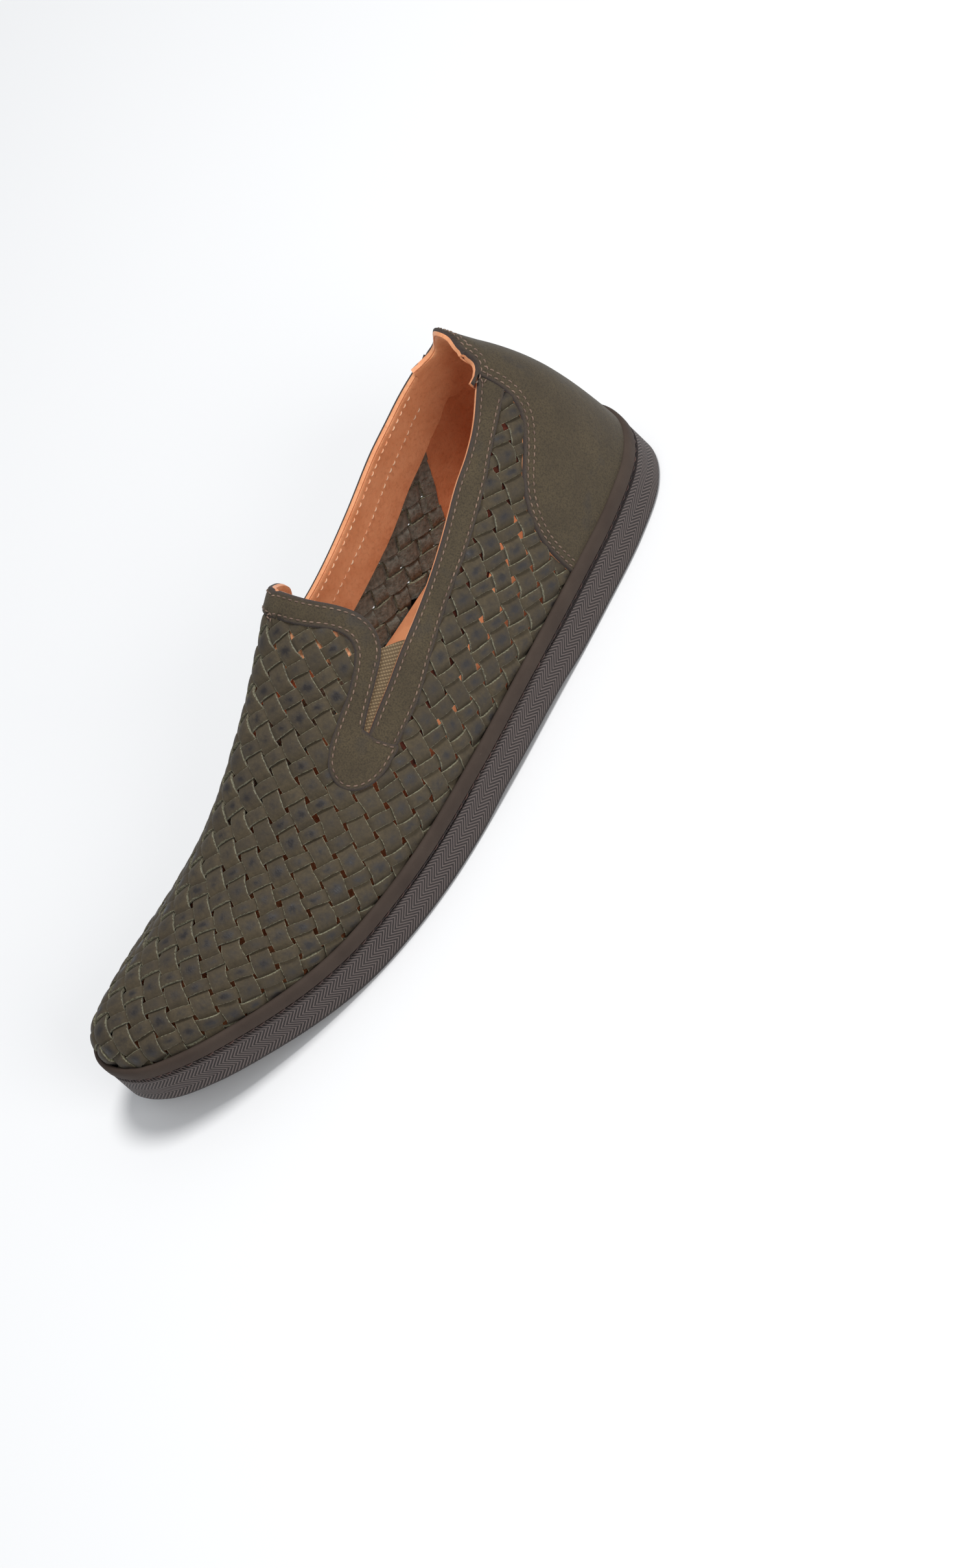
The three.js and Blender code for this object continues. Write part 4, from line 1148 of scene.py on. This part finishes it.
def tan_lining(colours):
    """Vegetable tanned calf lining: smooth, warm, slightly creased, with a soft gloss."""
    done = bpy.data.materials.get("tanned_calf_lining")
    if done:
        return done
    material, tree, shader = finish_of("tanned_calf_lining", Roughness=0.5,
                                       Specular_IOR_Level=0.45)
    spot = millimetres(tree)
    blot = speckle(tree, spot, 9.0, 3, (0.3, 0.7))
    colour = stained(
        tree, colours.lining, (blot, colours.lining_light),
        (speckle(tree, spot, 1.4, 4, (0.52, 0.8), (0, 0.5)), colours.lining_dark))
    tree.links.new(colour, shader.inputs["Base Color"])
    gloss = add(tree, "ShaderNodeMapRange", {0: blot, 3: 0.58, 4: 0.44})
    tree.links.new(gloss.outputs[0], shader.inputs["Roughness"])
    emboss(tree, shader, spot, ((0.7, 3), 0.08), ((5.0, 3), 0.35))
    return material


def lining_back_painted_shade(colours):
    """The flesh side of the lining, that shows through the gaps of the weave: dull, reddish brown,
    and darkened far below the lining's tan as painted shade for the shade inside the gaps.
    """
    return clouded("lining_flesh_side_painted_shade", colours.lining_back_painted_shade, colours.lining_flesh_painted_shade, (3.0, 3),
                   (0.3, 0.7), (0.8, 3, 0.2), Roughness=0.95, Specular_IOR_Level=0.2)


def sock_leather(colours):
    """Sock of tanned sheepskin: the lining's colour, darker and matt where feet rub."""
    return clouded("tanned_sheepskin_sock", colours.lining, colours.lining_dark, (12.0, 4),
                   (0.3, 0.7), (0.9, 3, 0.12), Roughness=0.62, Specular_IOR_Level=0.4)


def waxed_thread(name, light, dark):
    """Bonded nylon thread: three plies twisted, slightly waxed."""
    return clouded(name, light, dark, (6.0, 2), (0.3, 0.7), (0.3, 1, 0.08), Roughness=0.55,
                   Specular_IOR_Level=0.4)


def elastic_knit(colours):
    """Knitted elastic webbing: rows of loops over rubber, matt khaki. The rows run up the gore,
    which leans forward."""
    row_pitch, loop_pitch = 1.1, 0.9
    up_gore, across_gore = (0, 0.62, 0.79), (0, 0.79, -0.62)
    material, tree, shader = finish_of("knitted_elastic", Roughness=0.95, Sheen_Weight=0.3,
                                       Specular_IOR_Level=0.2)
    spot = millimetres(tree)
    waves = []
    for way, pitch, swing in ((up_gore, row_pitch, 0.5), (across_gore, loop_pitch, 0.35)):
        run = add(tree, "ShaderNodeVectorMath", {0: spot, 1: way}, operation="DOT_PRODUCT")
        turns = add(tree, "ShaderNodeMath", {0: run.outputs["Value"], 1: 2 * math.pi / pitch},
                    operation="MULTIPLY")
        wave = add(tree, "ShaderNodeMath", {0: turns}, operation="SINE")
        waves.append(add(tree, "ShaderNodeMath", {0: wave, 1: swing, 2: 0.55},
                         operation="MULTIPLY_ADD"))
    knit = add(tree, "ShaderNodeMath", {0: waves[0], 1: waves[1]}, operation="MULTIPLY")
    raised = add(tree, "ShaderNodeMapRange", {0: knit, 1: 0.05, 2: 0.7})
    colour = stained(tree, colours.elastic_dark, (raised, colours.elastic))
    tree.links.new(colour, shader.inputs["Base Color"])
    emboss(tree, shader, spot, (knit, 0.35))
    return material


def chevron_rubber(colours):
    """Moulded rubber cup sole: ridges that zigzag up the wall in bands, paler on their raised tops.
    """
    ridge_pitch, band_high, first_band = 1.5, 3.6, 2.6
    material, tree, shader = finish_of("moulded_chevron_rubber", Roughness=0.62,
                                       Specular_IOR_Level=0.45)
    chart = add(tree, "ShaderNodeUVMap", uv_map="millimetres")
    parts = add(tree, "ShaderNodeSeparateXYZ", {0: chart})
    run, climb = parts.outputs[0], parts.outputs[1]
    above = add(tree, "ShaderNodeMath", {0: climb, 1: first_band}, operation="SUBTRACT")
    zigzag = add(tree, "ShaderNodeMath", {0: above, 1: band_high}, operation="PINGPONG")
    lean = add(tree, "ShaderNodeMath", {0: zigzag, 1: 1.05}, operation="MULTIPLY")
    leaned = add(tree, "ShaderNodeMath", {0: run, 1: lean}, operation="ADD")
    phase = add(tree, "ShaderNodeMath", {0: leaned, 1: 1 / ridge_pitch}, operation="MULTIPLY")
    ridge = add(tree, "ShaderNodeMath", {0: phase, 1: 0.5}, operation="PINGPONG")
    relief = add(tree, "ShaderNodeMapRange", {0: ridge, 1: 0.08, 2: 0.3})
    for start, full in ((2.4, 2.9), (16.4, 15.9)):
        wall = add(tree, "ShaderNodeMapRange", {0: climb, 1: start, 2: full})
        relief = add(tree, "ShaderNodeMath", {0: relief, 1: wall}, operation="MULTIPLY")
    # the raised tops of the ridges are coloured paler than the grooves, following the relief
    paler_ridge_tops = add(tree, "ShaderNodeMath", {0: relief, 1: 0.8}, operation="MULTIPLY")
    spot = millimetres(tree)
    colour = stained(
        tree, colours.sole, (speckle(tree, spot, 11.0, 3, (0.3, 0.7)), colours.sole_light),
        (paler_ridge_tops, colours.sole_ridge_tops))
    tree.links.new(colour, shader.inputs["Base Color"])
    emboss(tree, shader, spot, ((0.8, 3), 0.06), (relief, 1.0))
    return material


def rand_rubber(colours):
    """Rubber rand cemented round the upper: smooth, grey-brown, dusty, with pale rubbed spots."""
    material, tree, shader = finish_of("cemented_rand_rubber", Roughness=0.78,
                                       Specular_IOR_Level=0.3)
    spot = millimetres(tree)
    colour = stained(
        tree, colours.rand, (speckle(tree, spot, 16.0, 4, (0.3, 0.7)), colours.rand_light),
        (speckle(tree, spot, 2.2, 5, (0.66, 0.78), (0, 0.6), 0.7), colours.rand_scuff))
    tree.links.new(colour, shader.inputs["Base Color"])
    emboss(tree, shader, spot, ((0.6, 3), 0.05), ((6.0, 3), 0.25))
    return material


def paper(name, code, rough):
    """Seamless background paper: matt and nearly white."""
    return finish_of(name, Base_Color=linear(code), Roughness=rough, Specular_IOR_Level=0.2)[0]


# stage

CAMERA = dict(azimuth=76.902, elevation=39.99, roll=-47.722, distance=1800.0, scale=4.318,
              across=554.505, down=1127.849, aim=(0.0, 0.0, 30.0))
PHOTO = (1512, 2420)


def camera_and_lights(sizes, colours):
    view = CAMERA
    az, el, roll = (math.radians(view[k]) for k in ("azimuth", "elevation", "roll"))
    back = Vector((math.sin(az) * math.cos(el), -math.cos(az) * math.cos(el), math.sin(el)))
    right = Vector((math.cos(az), math.sin(az), 0))
    up = back.cross(right)
    turned_right = right * math.cos(roll) + up * math.sin(roll)
    turned_up = up * math.cos(roll) - right * math.sin(roll)
    aim = Vector(place_mm(view["aim"]))
    lens = bpy.data.cameras.new("camera")
    lens.sensor_width = 36
    lens.lens = view["scale"] * view["distance"] / PHOTO[1] * lens.sensor_width
    lens.shift_x = (PHOTO[0] / 2 - view["across"]) / PHOTO[1]
    lens.shift_y = (view["down"] - PHOTO[1] / 2) / PHOTO[1]
    lens.clip_start, lens.clip_end = 0.05, 50
    camera = bpy.data.objects.new("camera", lens)
    bpy.context.scene.collection.objects.link(camera)
    frame_rows = Matrix((turned_right, turned_up, back)).transposed().to_4x4()
    camera.matrix_world = Matrix.Translation(aim + back * view["distance"] * 0.001) @ frame_rows
    bpy.context.scene.camera = camera

    floor = bpy.data.meshes.new("floor")
    reach = 6.0
    floor.from_pydata([(-reach, -reach, 0), (reach, -reach, 0), (reach, reach, 0),
                       (-reach, reach, 0)], [], [(0, 1, 2, 3)])
    floor.materials.append(paper("white_paper", "#f4f4f4", 0.9))
    ground_sheet = bpy.data.objects.new("floor", floor)
    bpy.context.scene.collection.objects.link(ground_sheet)

    bpy.context.scene.view_settings.view_transform = "Standard"
    world = bpy.data.worlds.new("studio")
    bpy.context.scene.world = world
    world.use_nodes = True
    world.node_tree.nodes["Background"].inputs[0].default_value = (0.93, 0.96, 1.0, 1)
    world.node_tree.nodes["Background"].inputs[1].default_value = sizes.room_light
    top = aim + turned_up * 1.1 + back * 1.1 - turned_right * 0.5
    beside = aim + turned_right * 0.6 + back * 1.6
    for name, spot, size, power in (("key", top, 0.5, sizes.key_light),
                                    ("fill", beside, 0.9, sizes.key_light * 0.6)):
        light = bpy.data.lights.new(name, "AREA")
        light.shape = "DISK"
        light.size = size
        light.energy = power
        lamp = bpy.data.objects.new(name, light)
        bpy.context.scene.collection.objects.link(lamp)
        lamp.location = spot
        lamp.rotation_mode = "QUATERNION"
        lamp.rotation_quaternion = (aim - spot).to_track_quat("-Z", "Y")


# the add-on

class ShoeSizes(bpy.types.PropertyGroup):
    """Sizes of the strips, leather and stitches, in millimetres, and the light"""
    strip_thick: FloatProperty(name="Strip thickness", default=1.2,
                               description="Thickness of the woven leather strips, mm")
    weave_swing: FloatProperty(name="Weave relief", default=0.8,
                               description="How far strips rise and dip from the middle, mm")
    inner_wider: FloatProperty(name="Inner side strips", default=0.9,
                               description="How much wider the strips are on the inner side, mm")
    long_strip: FloatProperty(name="Wide strips", default=6.5,
                              description="Width of the strips that run towards the toe, mm")
    cross_strip: FloatProperty(name="Narrow strips", default=4.7,
                               description="Width of the strips that cross them, mm")
    overlay_top: FloatProperty(name="Trim height", default=1.75,
                               description="Height of the smooth leather over the last, mm")
    lining_wide: FloatProperty(name="Lining width", default=25.0,
                               description="Width of the tan band inside the opening, mm")
    room_light: FloatProperty(name="Room light", default=0.45,
                              description="Strength of the even light all round")
    key_light: FloatProperty(name="Key light", default=17.5, subtype="POWER",
                             description="Power of the main soft lamp")


def colour_property(name, code, description):
    return FloatVectorProperty(name=name, subtype="COLOR", size=3, default=linear(code), min=0,
                               max=1, description=description)


class ShoeColours(bpy.types.PropertyGroup):
    """Colours of the shoe's leathers, rubber and thread"""
    nubuck: colour_property("Nubuck", "#443a2a", "Olive nubuck in its darker parts")
    nubuck_light: colour_property("Light nubuck", "#4f4431", "Olive nubuck in its lighter parts")
    nubuck_dark: colour_property("Nubuck pores", "#2e271d", "Pores and specks in the nubuck")
    folded_edge: colour_property("Folded edge", "#3b3230", "Nubuck where it is folded at an edge")
    burnish: colour_property("Burnish", "#221d1b", "Rubbed dark spots")
    cut_edge: colour_property("Cut edge", "#9a987f", "Raw leather at the strips' edges")
    suede: colour_property("Flesh side", "#5f6259", "Dark parts of the strips' back")
    suede_light: colour_property("Flesh side light", "#919489", "Light parts of the strips' back")
    lining: colour_property("Lining", "#dc9264", "Tan lining leather")
    lining_light: colour_property("Light lining", "#e8a376", "Tan lining in its lighter parts")
    lining_dark: colour_property("Dark lining", "#b56a42", "Pores and marks in the lining")
    # painted shade: the lining's back and its lighter parts are reddish brown darkened far below the
    # lining's tan, standing in for the shade inside the weave's gaps
    lining_back_painted_shade: colour_property("Lining back", "#3c1f16", "The lining's flesh side")
    lining_flesh_painted_shade: colour_property("Lining back light", "#70382a", "Lighter parts of the back")
    lining_thread: colour_property("Lining thread", "#e8c9a8", "Stitches in the lining")
    elastic: colour_property("Elastic", "#8f7a5c", "Khaki elastic loops")
    elastic_dark: colour_property("Elastic valleys", "#5c4b36", "Between the elastic's loops")
    thread: colour_property("Thread", "#826b5b", "Stitches")
    thread_dark: colour_property("Dark thread", "#604c42", "Soiled stitches")
    sole_thread: colour_property("Sole thread", "#5a3f38", "Stitches in the groove of the rand")
    sole: colour_property("Sole", "#282020", "Sole rubber")
    sole_light: colour_property("Light sole", "#352c2a", "Sole rubber, lighter parts")
    # paler colour given to the raised tops of the sole's ridges
    sole_ridge_tops: colour_property("Sole ridges", "#675b57", "Dust on the ridges of the sole")
    rand: colour_property("Rand", "#372b24", "Rand rubber")
    rand_light: colour_property("Light rand", "#43372f", "Rand rubber, lighter parts")
    rand_scuff: colour_property("Rand scuffs", "#5f5248", "Pale rubbed spots on the rand")


def run_step(step, context):
    """Makes one group of pieces from the sizes and colours that are set."""
    step(context.scene.shoe_sizes, context.scene.shoe_colours)
    return {"FINISHED"}


class SHOE_OT_weave(bpy.types.Operator):
    """Weave the vamp and quarters from two sets of leather strips"""
    bl_idname = "shoe.weave"
    bl_label = "Woven upper"

    def execute(self, context):
        return run_step(weave_upper, context)


class SHOE_OT_heel_panel(bpy.types.Operator):
    """Lay the heel panel with its tab round the back of the last"""
    bl_idname = "shoe.heel_panel"
    bl_label = "Heel panel"

    def execute(self, context):
        return run_step(heel_panel, context)


class SHOE_OT_collar_straps(bpy.types.Operator):
    """Lay the two straps along the top line"""
    bl_idname = "shoe.collar_straps"
    bl_label = "Collar straps"

    def execute(self, context):
        return run_step(collar_straps, context)


class SHOE_OT_throat_band(bpy.types.Operator):
    """Lay the trim round the throat with its two rounded ends"""
    bl_idname = "shoe.throat_band"
    bl_label = "Throat trim"

    def execute(self, context):
        return run_step(throat_band, context)


class SHOE_OT_gores(bpy.types.Operator):
    """Set the two elastic gores between the trim and the straps"""
    bl_idname = "shoe.gores"
    bl_label = "Elastic gores"

    def execute(self, context):
        return run_step(gores, context)


class SHOE_OT_lining(bpy.types.Operator):
    """Line the opening with tan leather"""
    bl_idname = "shoe.lining"
    bl_label = "Lining"

    def execute(self, context):
        return run_step(lining, context)


class SHOE_OT_insole(bpy.types.Operator):
    """Lay the sock insole"""
    bl_idname = "shoe.insole"
    bl_label = "Insole"

    def execute(self, context):
        return run_step(insole, context)


class SHOE_OT_outsole(bpy.types.Operator):
    """Mould the rubber cup sole"""
    bl_idname = "shoe.outsole"
    bl_label = "Cup sole"

    def execute(self, context):
        return run_step(outsole, context)


class SHOE_OT_rand(bpy.types.Operator):
    """Run the rand round the top of the sole"""
    bl_idname = "shoe.rand"
    bl_label = "Rand"

    def execute(self, context):
        return run_step(rand, context)


class SHOE_OT_stitching(bpy.types.Operator):
    """Sew every row of stitches that the pieces asked for"""
    bl_idname = "shoe.stitching"
    bl_label = "Stitching"

    def execute(self, context):
        return run_step(stitching, context)


class SHOE_OT_stage(bpy.types.Operator):
    """Set up the floor, the lights and the camera"""
    bl_idname = "shoe.stage"
    bl_label = "Stage"

    def execute(self, context):
        return run_step(camera_and_lights, context)


STEPS = ("stage", "weave", "heel_panel", "collar_straps", "throat_band", "gores", "lining",
         "insole", "outsole", "rand", "stitching")


class SHOE_PT_panel(bpy.types.Panel):
    """The shoe's sizes, colours and pieces"""
    bl_idname = "SHOE_PT_panel"
    bl_label = "Shoe"
    bl_space_type = "VIEW_3D"
    bl_region_type = "UI"
    bl_category = "Shoe"

    def draw(self, context):
        for group in (context.scene.shoe_sizes, context.scene.shoe_colours):
            box = self.layout.box()
            for key in group.__annotations__:
                box.prop(group, key)
        for step in STEPS:
            self.layout.operator("shoe." + step)


CLASSES = (ShoeSizes, ShoeColours, SHOE_OT_weave, SHOE_OT_heel_panel, SHOE_OT_collar_straps,
           SHOE_OT_throat_band, SHOE_OT_gores, SHOE_OT_lining, SHOE_OT_insole, SHOE_OT_outsole,
           SHOE_OT_rand, SHOE_OT_stitching, SHOE_OT_stage, SHOE_PT_panel)


def register():
    for one in CLASSES:
        bpy.utils.register_class(one)
    bpy.types.Scene.shoe_sizes = PointerProperty(type=ShoeSizes)
    bpy.types.Scene.shoe_colours = PointerProperty(type=ShoeColours)


def unregister():
    del bpy.types.Scene.shoe_colours
    del bpy.types.Scene.shoe_sizes
    for one in reversed(CLASSES):
        bpy.utils.unregister_class(one)


def main():
    register()
    for step in STEPS:
        getattr(bpy.ops.shoe, step)()


if __name__ == "__main__":
    main()
